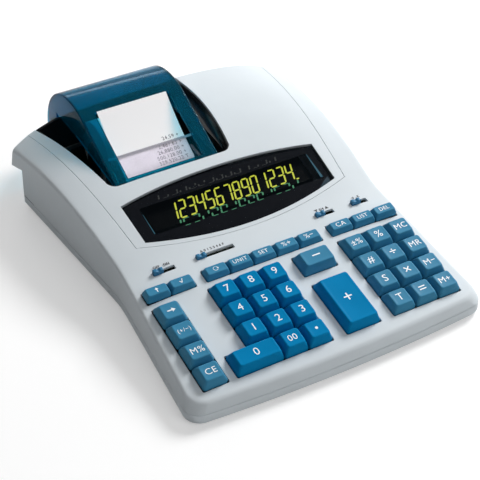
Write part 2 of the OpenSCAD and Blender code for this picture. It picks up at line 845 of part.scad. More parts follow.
// Knob of a slide switch, with the plate that keeps it under the deck
module switch_knob(s) {
    plate_t = 1;
    plate_side = 1.2;
    low = switch_body_w + 0.1;
    color([0.1, 0.42, 0.62]) machine() on_deck() translate([s[1] + knob_gap, slot_v, 0]) {
        translate([0, knob_gap - slot_width / 2, low])
            cube([knob_length, slot_width - 2 * knob_gap, knob_height - low]);
        translate([0, -slot_width / 2 - plate_side, low])
            cube([knob_length, slot_width + 2 * plate_side, plate_t]);
    }
}

// Rear wall of the tub follows the rear of the housing
tub_rear_inset = rear_lean + 3;
function tub_rear(x) = rear_y - tub_rear_inset
    - rear_bow * pow(2 * x / (rear_width - 2 * tub_rear_inset), 2);

// Plan of the tub, drawn in by d
module tub_outline(d) {
    intersection() {
        well_outline(tub_gap + d, rear_y);
        polygon(both_sides(base_half(tub_rear_inset + d)));
    }
}

// Cheek and stub that carry one end of the paper roll
module roll_cheek(side) {
    x = paper_width / 2 + cheek_gap + cheek_t / 2;
    across(printer_x + side * x, cheek_t)
        polygon([[roll_y - cheek_half_y, floor_z + eps], [roll_y + cheek_half_y, floor_z + eps],
            [roll_y + cheek_half_y / 2, cheek_z], [roll_y - cheek_half_y / 2, cheek_z]]);
    shaft(printer_x + side * (x - stub_length / 2), roll_y, roll_z, core_r - fit_gap, stub_length);
}

// Ear that carries one pin of the hood
module hinge_ear(side) {
    x = printer_x + side * (hood_width / 2 - hood_wall - ear_gap - ear_t / 2);
    root = tub_rear(x) - tub_wall / 2;
    across(x, ear_t) {
        translate([root, hinge_z - ear_r]) square([hinge_y - root, 2 * ear_r]);
        translate([hinge_y, hinge_z]) circle(r = ear_r);
    }
}

module printer_tub() {
    color([0.05, 0.05, 0.06]) machine() difference() {
        union() {
            difference() {
                translate([0, 0, floor_z]) linear_extrude(tub_rear_top - floor_z) tub_outline(0);
                translate([0, 0, floor_z + tub_wall]) linear_extrude(far) tub_outline(tub_wall);
                // The sides are lower than the rear wall
                translate([0, 0, tub_top]) linear_extrude(far)
                    polygon(both_sides(base_half(tub_rear_inset + tub_wall)));
            }
            for (side = [-1, 1]) {
                roll_cheek(side);
                hinge_ear(side);
            }
        }
        shaft(printer_x, hinge_y, hinge_z, hinge_pin_r + fit_gap, hood_width);
        // The rear wall falls with the cover at its left end
        translate([0, rear_y, 0]) rotate([90, 0, 0]) linear_extrude(rear_y - roll_y)
            polygon([[well_left - 2 * well_spread, tub_rear_top - 2 * tub_end_fall],
                [well_left, tub_rear_top], [well_left, far], [well_left - 2 * well_spread, far]]);
        // The floor ends in front of the recessed rear wall, and the rear wall above the ledge
        intersection() {
            linear_extrude(far) behind_recess(wall + seam_gap);
            under_lip(-seam_gap);
        }
    }
}

// Side view of the hood, drawn in by d
module hood_profile(d) {
    front_z = hood_tangent_z - (hood_tangent_y - hood_front_y) * tan(hood_tilt) - d / cos(hood_tilt);
    union() {
        translate([hood_y, hood_z]) circle(r = hood_r - d);
        polygon([[hood_front_y, front_z],
            [hood_tangent_y + d * sin(hood_tilt), hood_tangent_z - d * cos(hood_tilt)],
            [hood_y, hood_z], [hood_front_y, hood_z]]);
    }
}

// What is left of the hood above the well and behind the rim of the tub
module hood_reach() {
    rim = tub_rear_top + hood_rim_clear;
    low = hood_front_z() - hood_wall / cos(hood_tilt);
    polygon([[hood_front_y - 1, low], [roller_y, low], [roll_y, rim], [hood_rim_back, rim],
        [hood_rim_back, hood_foot_z], [far, hood_foot_z], [far, far], [hood_front_y - 1, far]]);
}

function hood_front_z() = hood_tangent_z - (hood_tangent_y - hood_front_y) * tan(hood_tilt);

module printer_cover() {
    color([0.05, 0.35, 0.45, 0.6]) machine() {
        difference() {
            across(printer_x, hood_width) intersection() {
                hood_reach();
                difference() {
                    hood_profile(0);
                    hood_profile(hood_wall);
                }
            }
            translate([printer_x - hood_opening / 2, hood_front_y + hood_lip, hood_z])
                cube([hood_opening, paper_end_y + hood_back_gap - hood_front_y - hood_lip, hood_r * 2]);
        }
        for (side = [-1, 1]) {
            across(printer_x + side * (hood_width - hood_wall) / 2, hood_wall) intersection() {
                hood_reach();
                hood_profile(hood_wall / 2);
            }
            shaft(printer_x + side * (hood_width / 2 - hood_wall - (ear_gap + ear_t) / 2), hinge_y, hinge_z,
                hinge_pin_r, ear_gap + ear_t + 2 * eps);
        }
    }
}

function paper_line(y) = paper_z + (y - paper_y) * paper_slope;
function hood_under(y) = hood_front_z() + (y - hood_front_y) * tan(hood_tilt) - hood_wall / cos(hood_tilt);

module tear_bar() {
    arm_y = [tear_front_y + 2, tear_back_y - 1];
    color([0.75, 0.85, 0.88, 0.4]) machine() {
        across(printer_x, hood_opening + 2 * tear_arm_t) polygon([
            [tear_front_y, paper_line(tear_front_y) + tear_lift],
            [tear_back_y, paper_line(tear_back_y) + tear_lift],
            [tear_back_y, paper_line(tear_back_y) + tear_lift + tear_t / 4],
            [tear_front_y, paper_line(tear_front_y) + tear_lift + tear_t]]);
        for (side = [-1, 1]) across(printer_x + side * (hood_opening + tear_arm_t) / 2, tear_arm_t)
            polygon([for (y = arm_y) [y, paper_line(y) + tear_lift],
                for (y = [arm_y[1], arm_y[0]]) [y, hood_under(y) - tear_arm_gap]]);
    }
}

module paper_roll() {
    color("white") machine() difference() {
        shaft(printer_x, roll_y, roll_z, roll_r, paper_width);
        shaft(printer_x, roll_y, roll_z, core_r, paper_width + 1);
    }
}

module paper_strip() {
    color("white") machine() across(printer_x, paper_width) polygon([
        [paper_y, paper_start_z], [paper_y, paper_z], [paper_end_y, paper_line(paper_end_y)],
        [paper_end_y - paper_t / 2, paper_line(paper_end_y) + paper_t],
        [paper_y - paper_t, paper_z + paper_t / 2], [paper_y - paper_t, paper_start_z]]);
}

module gear(r, teeth, t) {
    linear_extrude(t) {
        circle(r = r - gear_root);
        for (i = [0:teeth - 1]) rotate(i * 360 / teeth) translate([r - gear_root - 0.4, -0.6])
            square([gear_root + 0.4, 1.2]);
    }
}

module feed_roller() {
    shaft_end = frame_half + frame_t + gear_t + 1;
    color([0.15, 0.15, 0.16]) machine() {
        shaft(printer_x, roller_y, roller_z, roller_r, paper_width + 2);
        shaft(printer_x, roller_y, roller_z, roller_shaft_r, 2 * shaft_end);
        translate([printer_x + frame_half + frame_t + 0.5, roller_y, roller_z]) rotate([0, 90, 0])
            gear(gear_r, gear_teeth, gear_t);
    }
}

module print_mechanism() {
    base_t = 2;
    motor_r = 8;
    motor_y = roller_y + 2;
    rod_r = 1.5;
    rod_inset = 5;
    rod_y = frame_front_y + rod_inset;
    rod_z = 26;
    head = [14, 7, 10];
    low = floor_z + tub_wall;
    length = frame_back_y - frame_front_y;
    color("dimgray") machine() difference() {
        union() {
            translate([printer_x - frame_half - frame_t, frame_front_y, low])
                cube([2 * (frame_half + frame_t), length, base_t]);
            for (x = [-frame_half - frame_t, frame_half])
                translate([printer_x + x, frame_front_y, low]) cube([frame_t, length, frame_z - low]);
            shaft(printer_x, rod_y, rod_z, rod_r, 2 * frame_half + frame_t);
            translate([printer_x - head[0] / 2, rod_y - head[1] / 2, rod_z - head[2] / 2]) cube(head);
            shaft(printer_x - frame_half / 2, motor_y, low + motor_r + base_t - eps, motor_r, frame_half);
        }
        shaft(printer_x, roller_y, roller_z, roller_shaft_r + fit_gap, 3 * frame_half);
    }
}

module feet() {
    color([0.1, 0.1, 0.1]) machine() for (p = foot_places) translate([p[0], p[1], 0])
        cylinder(r1 = foot_r - 0.6, r2 = foot_r, h = foot_height);
}

module case_screws() {
    color("silver") machine() for (p = screw_places) translate([p[0], p[1], foot_height]) {
        cylinder(r = screw_head_r, h = screw_head_h);
        cylinder(r = screw_r, h = screw_length - 1);
    }
}

bottom_case();
top_case();
upper_cover();
display_window();
display_tube();
printer_tub();
printer_cover();
tear_bar();
paper_roll();
paper_strip();
feed_roller();
print_mechanism();
circuit_board();
key_mat();
feet();
case_screws();
for (k = keys) key_cap(k);
for (s = switches) switch_knob(s);
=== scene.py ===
from math import asin, atan, cos, degrees, pi, radians, sin, sqrt, tan

import bpy
from mathutils import Matrix, Vector
from mathutils.kdtree import KDTree


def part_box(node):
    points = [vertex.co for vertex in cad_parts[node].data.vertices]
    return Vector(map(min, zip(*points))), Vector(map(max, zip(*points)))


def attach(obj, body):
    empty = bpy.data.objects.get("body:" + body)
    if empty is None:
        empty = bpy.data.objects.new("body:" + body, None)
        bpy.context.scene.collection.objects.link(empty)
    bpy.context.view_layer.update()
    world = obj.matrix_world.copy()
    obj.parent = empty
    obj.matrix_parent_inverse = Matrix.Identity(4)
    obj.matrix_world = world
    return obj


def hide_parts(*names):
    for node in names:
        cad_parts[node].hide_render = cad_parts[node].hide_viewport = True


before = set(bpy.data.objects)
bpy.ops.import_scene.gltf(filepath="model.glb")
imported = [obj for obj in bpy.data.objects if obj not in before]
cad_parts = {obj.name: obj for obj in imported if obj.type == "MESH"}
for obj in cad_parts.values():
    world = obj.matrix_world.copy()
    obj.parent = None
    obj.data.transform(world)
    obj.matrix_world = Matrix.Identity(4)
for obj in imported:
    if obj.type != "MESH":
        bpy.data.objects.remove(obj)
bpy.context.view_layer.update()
mm = 0.001
# Difference in millimetres below which two places count as one
hair = 0.01


# Selecting and placing

def pick(*pieces):
    bpy.ops.object.select_all(action="DESELECT")
    for piece in pieces:
        piece.select_set(True)
    bpy.context.view_layer.objects.active = pieces[0]


def give(item, **values):
    for name, value in values.items():
        setattr(item, name, value)
    return item


# The object that was just added, with its name
def added(name):
    return give(bpy.context.object, name=name)


def settle(piece, matrix=None):
    if matrix is not None:
        piece.matrix_world = matrix @ piece.matrix_world
    pick(piece)
    bpy.ops.object.transform_apply(location=True, rotation=True, scale=True)
    return piece


def editing(piece, kind="FACE", select="SELECT"):
    pick(piece)
    bpy.ops.object.mode_set(mode="EDIT")
    bpy.ops.mesh.select_mode(type=kind)
    bpy.ops.mesh.select_all(action=select)


def done():
    bpy.ops.object.mode_set(mode="OBJECT")


# Edit mode with only those items chosen that pass the test
def choose(piece, kind, test):
    editing(piece, kind, "DESELECT")
    done()
    mesh = piece.data
    for item in {"FACE": mesh.polygons, "EDGE": mesh.edges, "VERT": mesh.vertices}[kind]:
        item.select = bool(test(item))
    bpy.ops.object.mode_set(mode="EDIT")


# Rounds the edges whose two ends, in millimetres, pass the test
def bevelEdges(piece, test, offset, segments):
    choose(piece, "EDGE", lambda edge: test(*(piece.data.vertices[i].co / mm for i in edge.vertices)))
    bpy.ops.mesh.bevel(offset=offset * mm, segments=segments, affect="EDGES")
    done()


def extrude(height):
    bpy.ops.mesh.extrude_region_move(TRANSFORM_OT_translate={"value": (0, 0, height * mm)})


def bisect(piece, place, normal, **choices):
    editing(piece)
    bpy.ops.mesh.bisect(plane_co=place, plane_no=normal, **choices)
    done()
    return piece


def outward(piece):
    editing(piece)
    bpy.ops.mesh.normals_make_consistent(inside=False)
    done()


def smooth(piece, angle):
    pick(piece)
    bpy.ops.object.shade_smooth_by_angle(angle=radians(angle))
    return piece


def applied(piece, kind, **values):
    pick(piece)
    step = give(piece.modifiers.new(kind.lower(), kind), **values)
    bpy.ops.object.modifier_apply(modifier=step.name)
    return piece


def carve(piece, tool, operation="DIFFERENCE"):
    applied(piece, "BOOLEAN", operation=operation, object=tool, solver="MANIFOLD")
    bpy.data.objects.remove(tool)
    return piece


def joined(pieces, name):
    pick(*pieces)
    bpy.ops.object.join()
    return give(pieces[0], name=name)


def twin(piece, name):
    made = give(piece.copy(), data=piece.data.copy(), name=name)
    bpy.context.scene.collection.objects.link(made)
    return made


# A closed outline in millimetres, pulled up from low to high
def prism(name, outline, low, high, matrix=None):
    bpy.ops.mesh.primitive_circle_add(vertices=len(outline), radius=1, fill_type="NGON")
    piece = added(name)
    for point, (a, b) in zip(piece.data.vertices, outline):
        point.co = Vector((a, b, low)) * mm
    editing(piece)
    extrude(high - low)
    done()
    outward(piece)
    return piece if matrix is None else settle(piece, matrix)


def box(name, low, high):
    low, high = Vector(low), Vector(high)
    bpy.ops.mesh.primitive_cube_add(size=1, location=(low + high) / 2 * mm)
    piece = added(name)
    piece.scale = (high - low) * mm
    return settle(piece)


# Turns of a round rod that stands along Z
alongX, alongY, alongZ = (0, pi / 2, 0), (pi / 2, 0, 0), (0, 0, 0)


def rod(radius, length, place, turn, sides):
    bpy.ops.mesh.primitive_cylinder_add(vertices=sides, radius=radius * mm, depth=length * mm,
                                        rotation=turn, location=Vector(place) * mm)
    return settle(bpy.context.object, machineFrame)


def rectangle(left, low, right, high):
    return [(left, low), (right, low), (right, high), (left, high)]


# Corners of an outline drawn as curves of the given reach
def rounded(points, reach, steps=5):
    made = []
    for i, point in enumerate(points):
        corner = Vector(point)
        before = (Vector(points[i - 1]) - corner).normalized() * reach
        after = (Vector(points[(i + 1) % len(points)]) - corner).normalized() * reach
        for k in range(steps + 1):
            t = k / steps
            made.append(tuple(corner + before * (1 - t) ** 2 + after * t ** 2))
    return made


def arc(cx, cy, r, start, end, steps):
    angles = [radians(start + (end - start) * i / steps) for i in range(steps + 1)]
    return [(cx + r * cos(a), cy + r * sin(a)) for a in angles]


def mix(a, b, t):
    return a + (b - a) * t


def share(t):
    return min(1, max(0, t))


# Larger of two values with a soft change from one to the other
def softMax(a, b, soft):
    return (a + b + sqrt((a - b) ** 2 + soft ** 2)) / 2


def shifted(x, y, z):
    return Matrix.Translation((x * mm, y * mm, z * mm))


# Materials

white = (1, 1, 1, 1)


# A socket given for an input is linked, any other value is set
def feed(node, values):
    for name, value in values.items():
        if isinstance(value, bpy.types.NodeSocket):
            node.id_data.links.new(value, node.inputs[name])
        else:
            node.inputs[name].default_value = value
    return node


def addNode(tree, kind, values=None, **choices):
    return feed(give(tree.nodes.new("ShaderNode" + kind), **choices), values or {})


def noiseNode(source, scale, detail):
    values = {"Vector": source, "Scale": scale, "Detail": detail}
    return addNode(source.id_data, "TexNoise", values).outputs["Fac"]


def spreadNode(source, low, high, fromLow=0.3, fromHigh=0.7):
    values = {"Value": source, "From Min": fromLow, "From Max": fromHigh, "To Min": low, "To Max": high}
    return addNode(source.id_data, "MapRange", values).outputs["Result"]


def tintNode(source, dark, light):
    made = addNode(source.id_data, "Mix", {"Factor": source}, data_type="RGBA")
    colours = [socket for socket in made.inputs if socket.type == "RGBA"]
    colours[0].default_value = (*dark, 1)
    colours[1].default_value = (*light, 1)
    return [socket for socket in made.outputs if socket.type == "RGBA"][0]


def bumpNode(source, strength, distance, normal=None):
    values = {"Height": source, "Strength": strength, "Distance": distance * mm}
    if normal is not None:
        values["Normal"] = normal
    return addNode(source.id_data, "Bump", values).outputs["Normal"]


def basics(tree):
    return tree.nodes["Principled BSDF"], addNode(tree, "TexCoord").outputs["Object"]


# Colour that drifts between a darker and a lighter tint
def tinted(tree, look, scale, detail, dark, light, socket="Base Color"):
    shader, where = basics(tree)
    drift = noiseNode(where, scale, detail)
    colour = Vector(look["colour"])
    tint = tintNode(spreadNode(drift, 0, 1), colour * dark, colour * light)
    feed(shader, {socket: tint})
    return shader, where, drift


usualLook = dict(driftScale=35, grainScale=2600, grainDeep=0.05, vary=0.05, roughVary=0.06, bump=0.12,
                 edge=0, metal=0.0, shine=0.5)


# Moulded, painted or rubber surface: drifting tint, grain in roughness and height, soft edges
def surface(tree, given):
    look = {**usualLook, **given}
    shader, where, drift = tinted(tree, look, look["driftScale"], 4.0, 1 - look["vary"], 1 + look["vary"])
    grain = noiseNode(where, look["grainScale"], 3.0)
    edge = None
    if look["edge"]:
        edge = addNode(tree, "Bevel", {"Radius": look["edge"] * mm}, samples=6).outputs["Normal"]
    rough, vary = look["rough"], look["roughVary"]
    feed(shader, {"Roughness": spreadNode(grain, rough - vary, rough + vary),
                  "Normal": bumpNode(grain, look["bump"], look["grainDeep"], edge),
                  "Metallic": look["metal"], "Specular IOR Level": look["shine"]})


# See-through plastic with faint flow lines and smears, shading what is behind it in part
def clearSurface(tree, look):
    shader, where, flow = tinted(tree, look, 60, 3.0, 0.94, 1.04)
    smear = noiseNode(where, 220, 4.0)
    shadow = addNode(tree, "LightPath").outputs["Is Shadow Ray"]
    feed(shader, {"Roughness": spreadNode(smear, look["rough"], look["rough"] + 0.05),
                  "Normal": bumpNode(flow, 0.05, 0.2), "Transmission Weight": look["clear"],
                  "IOR": look["ior"], "Specular IOR Level": look["shine"],
                  "Alpha": spreadNode(shadow, 1, look["shade"], 0, 1)})
    if "body" in look:
        body = addNode(tree, "VolumeAbsorption", {"Color": (*look["body"], 1), "Density": look["dense"]})
        feed(tree.nodes["Material Output"], {"Volume": body.outputs["Volume"]})


# Dark lens that lets part of the light behind it through
def lensSurface(tree, look):
    shader, where, smear = tinted(tree, look, 90, 4.0, 0.9, 1.1)
    feed(shader, {"Roughness": spreadNode(smear, 0.05, 0.13),
                  "Normal": bumpNode(smear, 0.02, 0.1),
                  "Alpha": look["alpha"], "Specular IOR Level": look["shine"]})


# Glowing surface of the lit segments, also used for the painted reflections and glints under the lens: the
# glow is uneven along the segment, like a phosphor coat
def glowSurface(tree, look):
    shader, where, coat = tinted(tree, look, 1400, 2.0, 0.88, 1, "Emission Color")
    feed(shader, {"Emission Strength": look["strength"], "Base Color": (0.01, 0.01, 0.01, 1)})


# Paper: fibres in colour and height, the wound edges as fine rings about a centre, and a faint glow that
# is painted light brightening the paper
def paperSurface(tree, look):
    shader, where, height = tinted(tree, look, 900, 5.0, 0.95, 1)
    if "centre" in look:
        away = addNode(tree, "VectorMath", {0: where, 1: look["centre"]}, operation="SUBTRACT").outputs[0]
        height = addNode(tree, "TexWave", {"Vector": away, "Scale": 320, "Distortion": 1.5},
                         wave_type="RINGS", rings_direction="X").outputs["Fac"]
    feed(shader, {"Normal": bumpNode(height, 0.15, 0.05), "Roughness": 0.75,
                  "Emission Color": white, "Emission Strength": look["glow"]})


looks = {
    "housingGray": dict(colour=(0.655, 0.71, 0.745), rough=0.46, vary=0.015, edge=0.5, bump=0.2,
                        shine=0.1),
    "keyBlue": dict(colour=(0.002, 0.215, 0.465), rough=0.3, grainScale=1800, shine=0.02),
    "keyTeal": dict(colour=(0.045, 0.23, 0.385), rough=0.34, grainScale=1800, shine=0.08),
    "knobTeal": dict(colour=(0.03, 0.17, 0.32), rough=0.35, shine=0.2),
    "legendWhite": dict(colour=(0.88, 0.9, 0.92), rough=0.5, vary=0.03),
    "printBlack": dict(colour=(0.03, 0.03, 0.035), rough=0.6, vary=0.2),
    "printGray": dict(colour=(0.1, 0.1, 0.115), rough=0.8, vary=0.25, driftScale=900),
    "maskBlack": dict(colour=(0.014, 0.016, 0.023), rough=0.2, vary=0.15, shine=0.12),
    "tubeBlack": dict(colour=(0.004, 0.005, 0.005), rough=0.3, vary=0.2, shine=0.05),
    # The tub's own black, also used as painted shade on the inner faces at the rear of the lower shell
    "tubBlackAndPaintedShade": dict(colour=(0.008, 0.009, 0.011), rough=0.38, vary=0.2, edge=0.4, shine=0.05),
    "linerBlack": dict(colour=(0.01, 0.01, 0.012), rough=0.24, vary=0.2, shine=0.45),
    "rubberBlack": dict(colour=(0.02, 0.02, 0.02), rough=0.8, vary=0.2, bump=0.4, shine=0.2),
    "matDark": dict(colour=(0.05, 0.05, 0.055), rough=0.8, vary=0.15, shine=0.2),
    "boardDark": dict(colour=(0.006, 0.014, 0.01), rough=0.45, vary=0.25, shine=0.3),
    "mechanismGray": dict(colour=(0.06, 0.06, 0.065), rough=0.5, vary=0.2, metal=0.3, shine=0.2),
    "teethGray": dict(colour=(0.36, 0.35, 0.4), rough=0.4, shine=0.2),
    "screwSteel": dict(colour=(0.5, 0.5, 0.5), rough=0.35, vary=0.1, metal=1.0),
}
paints = {}


def stock(make, table):
    for name, look in table.items():
        paints[name] = bpy.data.materials.new(name)
        paints[name].use_nodes = True
        make(paints[name].node_tree, look)


stock(surface, looks)


def paint(piece, name):
    piece.data.materials.clear()
    piece.data.materials.append(paints[name])


def carried(piece, body, stands=()):
    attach(piece, body)
    if stands:
        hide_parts(*stands)


def dress(piece, finish, body, stands=()):
    paint(piece, finish)
    carried(piece, body, stands)


# Housing sizes, the same as the construction's, in millimetres
house = dict(
    frontWidth=230, waistWidth=209, rearWidth=237, frontMargin=15, frontBow=5, creaseBow=4, waistY=115,
    rearY=296, rearBow=9, rearTopBow=15, frontCorner=12, creaseCorner=13, rearCorner=6, leastCorner=0.5,
    wall=2, floorWall=2.5, frontLean=5, sideLean=5, waistLean=0.8, rearSideLean=2.5, rearLean=6,
    leanShare=0.75, edgeReach=2.4, edgeDrop=2.4, parting=10, groove=0.6, seamGap=0.3, lipZ=24, lipTilt=17,
    lipDepth=14, recessBow=22, floor=2.5, foot=2.5, deckZ=19, deckTilt=9.5, displayY=112,
    displayTilt=13.6, displayEnd=165, crown=300, frontFall=1.5, displayFall=3, rearFall=12.5, bandPower=5,
    bandStart=150, bandEnd=260, waistSoft=1.0, cutHigh=60, cutPast=5,
)
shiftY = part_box("bottom_case")[0].y / mm + house["frontMargin"]
machineFrame = shifted(0, shiftY, 0)
# Turns a profile drawn in Y and Z, pulled along Z, so that the pull runs along X
acrossFrame = machineFrame @ Matrix(((0, 0, 1, 0), (1, 0, 0, 0), (0, 1, 0, 0), (0, 0, 0, 1)))
deckTilt, displayTilt = radians(house["deckTilt"]), radians(house["displayTilt"])
displayZ = house["deckZ"] + house["displayY"] * tan(deckTilt)
displayEndZ = displayZ + (house["displayEnd"] - house["displayY"]) * tan(displayTilt)
apexY = house["displayEnd"] + house["crown"] * sin(displayTilt)
apexZ = displayEndZ + house["crown"] * (1 - cos(displayTilt))


def tilted(x, y, z, turn):
    return machineFrame @ shifted(x, y, z) @ Matrix.Rotation(turn, 4, "X")


deckFrame = tilted(0, 0, house["deckZ"], deckTilt)
displayFrame = tilted(0, house["displayY"], displayZ, displayTilt)


def spineZ(y):
    h = house
    if y < h["displayY"]:
        return h["deckZ"] + y * tan(deckTilt)
    if y < h["displayEnd"]:
        return displayZ + (y - h["displayY"]) * tan(displayTilt)
    return apexZ - h["crown"] + sqrt(h["crown"] ** 2 - (y - apexY) ** 2)


# Half width along a side that runs straight from front to waist and from waist to rear
def sideHalf(y, front, waist, rear, frontY, rearY):
    ahead = mix(front, waist, (y - frontY) / (house["waistY"] - frontY)) / 2
    behind = mix(waist, rear, (y - house["waistY"]) / (rearY - house["waistY"])) / 2
    return softMax(ahead, behind, house["waistSoft"])


# The three widths of the housing, leaning in by a share of each side's lean and by an inset
def widthsAt(part, inset):
    sides = (("frontWidth", "sideLean"), ("waistWidth", "waistLean"), ("rearWidth", "rearSideLean"))
    return [house[width] - 2 * (part * house[lean] + inset) for width, lean in sides]


def creaseHalf(y):
    return sideHalf(min(max(y, 0), house["rearY"]), *widthsAt(1, 0), 0, house["rearY"])


def bandFall(y):
    h = house
    if y < h["bandStart"]:
        return mix(h["frontFall"], h["displayFall"], share(y / h["displayY"]))
    reach = (y - h["bandStart"]) / (h["bandEnd"] - h["bandStart"])
    return mix(h["displayFall"], h["rearFall"], reach)


def topZ(x, y):
    return spineZ(y) - bandFall(y) * (abs(x) / creaseHalf(y)) ** house["bandPower"]


def onTop(x, y):
    return Vector((x, y, topZ(x, y)))


# Points per stretch of the plan outline, from the middle of the front to the middle of the rear
outlineSteps = dict(front=20, corner=12, sideFront=24, sideRear=36, rear=20)


def halfOutline(widths, frontY, rearY, bows, corners):
    front, waist, rear = widths
    fx, rx = front / 2 - corners[0], rear / 2 - corners[1]
    fcy = frontY + bows[0] * (2 * fx / front) ** 2 + corners[0]
    rcy = rearY - bows[1] * (2 * rx / rear) ** 2 - corners[1]
    n = outlineSteps
    made = []
    for i in range(n["front"]):
        x = fx * i / n["front"]
        made.append((x, frontY + bows[0] * (2 * x / front) ** 2))
    made += arc(fx, fcy, corners[0], -90, 0, n["corner"])
    ys = [mix(fcy, house["waistY"], i / n["sideFront"]) for i in range(1, n["sideFront"] + 1)]
    ys += [mix(house["waistY"], rcy, i / n["sideRear"]) for i in range(1, n["sideRear"])]
    made += [(sideHalf(y, front, waist, rear, fcy, rcy), y) for y in ys]
    made += arc(rx, rcy, corners[1], 0, 90, n["corner"])
    for i in range(1, n["rear"] + 1):
        x = rx * (1 - i / n["rear"])
        made.append((x, rearY - bows[1] * (2 * x / rear) ** 2))
    return made


def bothSides(half):
    return half + [(-x, y) for x, y in reversed(half[1:-1])]


# Outline of the walls drawn in by inset, at the foot with part 0 and towards the corner line with part 1
def wallHalf(part, inset):
    h = house
    corners = (mix(h["frontCorner"], h["creaseCorner"], part) - inset,
               max(h["leastCorner"], h["rearCorner"] - part * h["rearSideLean"] - inset))
    bows = (mix(h["frontBow"], h["creaseBow"], part), mix(h["rearBow"], h["rearTopBow"], part))
    return halfOutline(widthsAt(part, inset), part * h["frontLean"] + inset - h["frontMargin"],
                       h["rearY"] - part * h["rearLean"] - inset, bows, corners)


def baseOutline(inset):
    return bothSides(wallHalf(0, inset))


# Grid of unit size whose points are then put in place
def grid(name, columns, rows):
    bpy.ops.mesh.primitive_grid_add(x_subdivisions=columns, y_subdivisions=rows, size=1)
    return added(name)


# Top surface as a grid stretched between the four stretches of the crease
def topGrid(half):
    columns = 2 * (outlineSteps["front"] + outlineSteps["corner"] // 2)
    last, middle = len(half) - 1, columns // 2
    rows = last - columns
    piece = grid("upperShell", columns, rows)

    def edgePoint(index, left):
        x, y = half[index]
        return Vector((-x if left else x, y))

    for point in piece.data.vertices:
        i = round((point.co.x + 0.5) * columns)
        j = round((point.co.y + 0.5) * rows)
        s, t = i / columns, j / rows
        front = edgePoint(abs(i - middle), i < middle)
        rear = edgePoint(last - abs(i - middle), i < middle)
        right, left = edgePoint(middle + j, False), edgePoint(middle + j, True)
        low = mix(edgePoint(middle, True), edgePoint(middle, False), s)
        high = mix(edgePoint(last - middle, True), edgePoint(last - middle, False), s)
        flat = mix(front, rear, t) + mix(left, right, s) - mix(low, high, t)
        point.co = onTop(flat.x, flat.y) * mm
    return piece


# Rings from the rim of the grid over the rounded corner line and down the wall
def wallRings(half):
    corners = bothSides(wallHalf(house["leanShare"], 0))
    bend, wall = 6, 3
    rings = [[] for k in range(bend + wall)]
    for inner, outer, below in zip(bothSides(half), corners, baseOutline(0)):
        start, corner, foot = onTop(*inner), onTop(*outer), Vector((*below, house["parting"]))
        low = corner.lerp(foot, house["edgeDrop"] / (corner.z - foot.z))
        for k in range(bend):
            t = (k + 1) / bend
            rings[k].append(start * (1 - t) ** 2 + corner * 2 * t * (1 - t) + low * t ** 2)
        for k in range(wall):
            rings[bend + k].append(low.lerp(foot, (k + 1) / wall))
    return rings


# Upper shell: the grid's rim is drawn down ring by ring to the parting line
def upperShell():
    half = wallHalf(house["leanShare"], house["edgeReach"])
    piece = topGrid(half)
    editing(piece)
    bpy.ops.mesh.region_to_loop()
    before = [onTop(x, y) for x, y in bothSides(half)]
    for after in wallRings(half):
        extrude(0)
        done()
        nearest = KDTree(len(before))
        for i, point in enumerate(before):
            nearest.insert(point * mm, i)
        nearest.balance()
        for point in piece.data.vertices:
            if point.select:
                point.co = after[nearest.find(point.co)[1]] * mm
        bpy.ops.object.mode_set(mode="EDIT")
        before = after
    done()
    outward(piece)
    applied(piece, "SOLIDIFY", thickness=house["wall"] * mm, offset=-1)
    return settle(piece, machineFrame)


# Cut lines on the housing, in plan, and the heights between which their cutters stand
seam = dict(y=111.5, bow=14.5, half=85.5, spread=0.106, back=312)
window = dict(y=115, frontBow=12.5, half=77, spread=2, depth=56, rearBow=7.5, recess=0.8, thick=1.8,
              gap=0.2, edge=0.35)
well = dict(y=181, left=-79, right=21.5, spread=19, rightSpread=7.3, bend=75, corner=8)
planReach = (4, 120)
bowSteps = 48


def bowLine(y, half, bow, reach):
    r = (half ** 2 + bow ** 2) / (2 * bow)
    xs = [reach * (2 * i / bowSteps - 1) for i in range(bowSteps + 1)]
    return [(x, y + r - sqrt(r ** 2 - x ** 2)) for x in xs]


def seamOutline(inset):
    s = seam
    front = bowLine(s["y"] + inset, s["half"], s["bow"], s["half"] - inset)
    back = s["half"] - inset + s["spread"] * (s["back"] - s["y"] - s["bow"])
    return front + [(back, s["back"]), (-back, s["back"])]


def windowOutline(inset):
    w = window
    corner = w["half"] + w["spread"] * w["frontBow"] / w["depth"] - inset
    rearCorner = w["half"] + w["spread"] - inset
    front = bowLine(w["y"] + inset, w["half"], w["frontBow"], corner)
    rear = bowLine(0, w["half"], w["rearBow"], rearCorner)
    rearY = w["y"] + w["depth"] - inset
    return front + [(x, rearY - y) for x, y in reversed(rear)]


def wellOutline(inset, back):
    w = well
    r = w["corner"] - inset
    y = w["y"] + w["corner"]
    spread = w["spread"] * (back - y) / (house["rearY"] - y)
    steps = 12
    bend = []
    for i in range(1, steps + 1):
        t = 1 - i / steps
        bend.append((w["right"] + w["rightSpread"] * (1 - t * t) - inset, y + w["bend"] * (1 - t)))
    return (arc(w["left"] + w["corner"], y, r, 180, 270, 10)
            + arc(w["right"] - w["corner"], y, r, 270, 360, 10) + bend
            + [(w["right"] + w["rightSpread"] - inset, back), (w["left"] - spread + inset, back)])


def recessY(x):
    return house["rearY"] - house["lipDepth"] - house["recessBow"] * (2 * x / house["rearWidth"]) ** 2


def recessLine(inset, half):
    return [(x, recessY(x) - inset) for x in (half * (i / 20 - 1) for i in range(41))]


# Cuts along the underside of the rear overhang
def lipCut(piece, drop=0, keepBelow=True):
    turn = radians(house["lipTilt"])
    place = machineFrame @ (Vector((0, house["rearY"] - house["rearBow"], house["lipZ"] - drop)) * mm)
    return bisect(piece, place, (0, sin(turn), cos(turn)), use_fill=True,
                  clear_outer=keepBelow, clear_inner=not keepBelow)


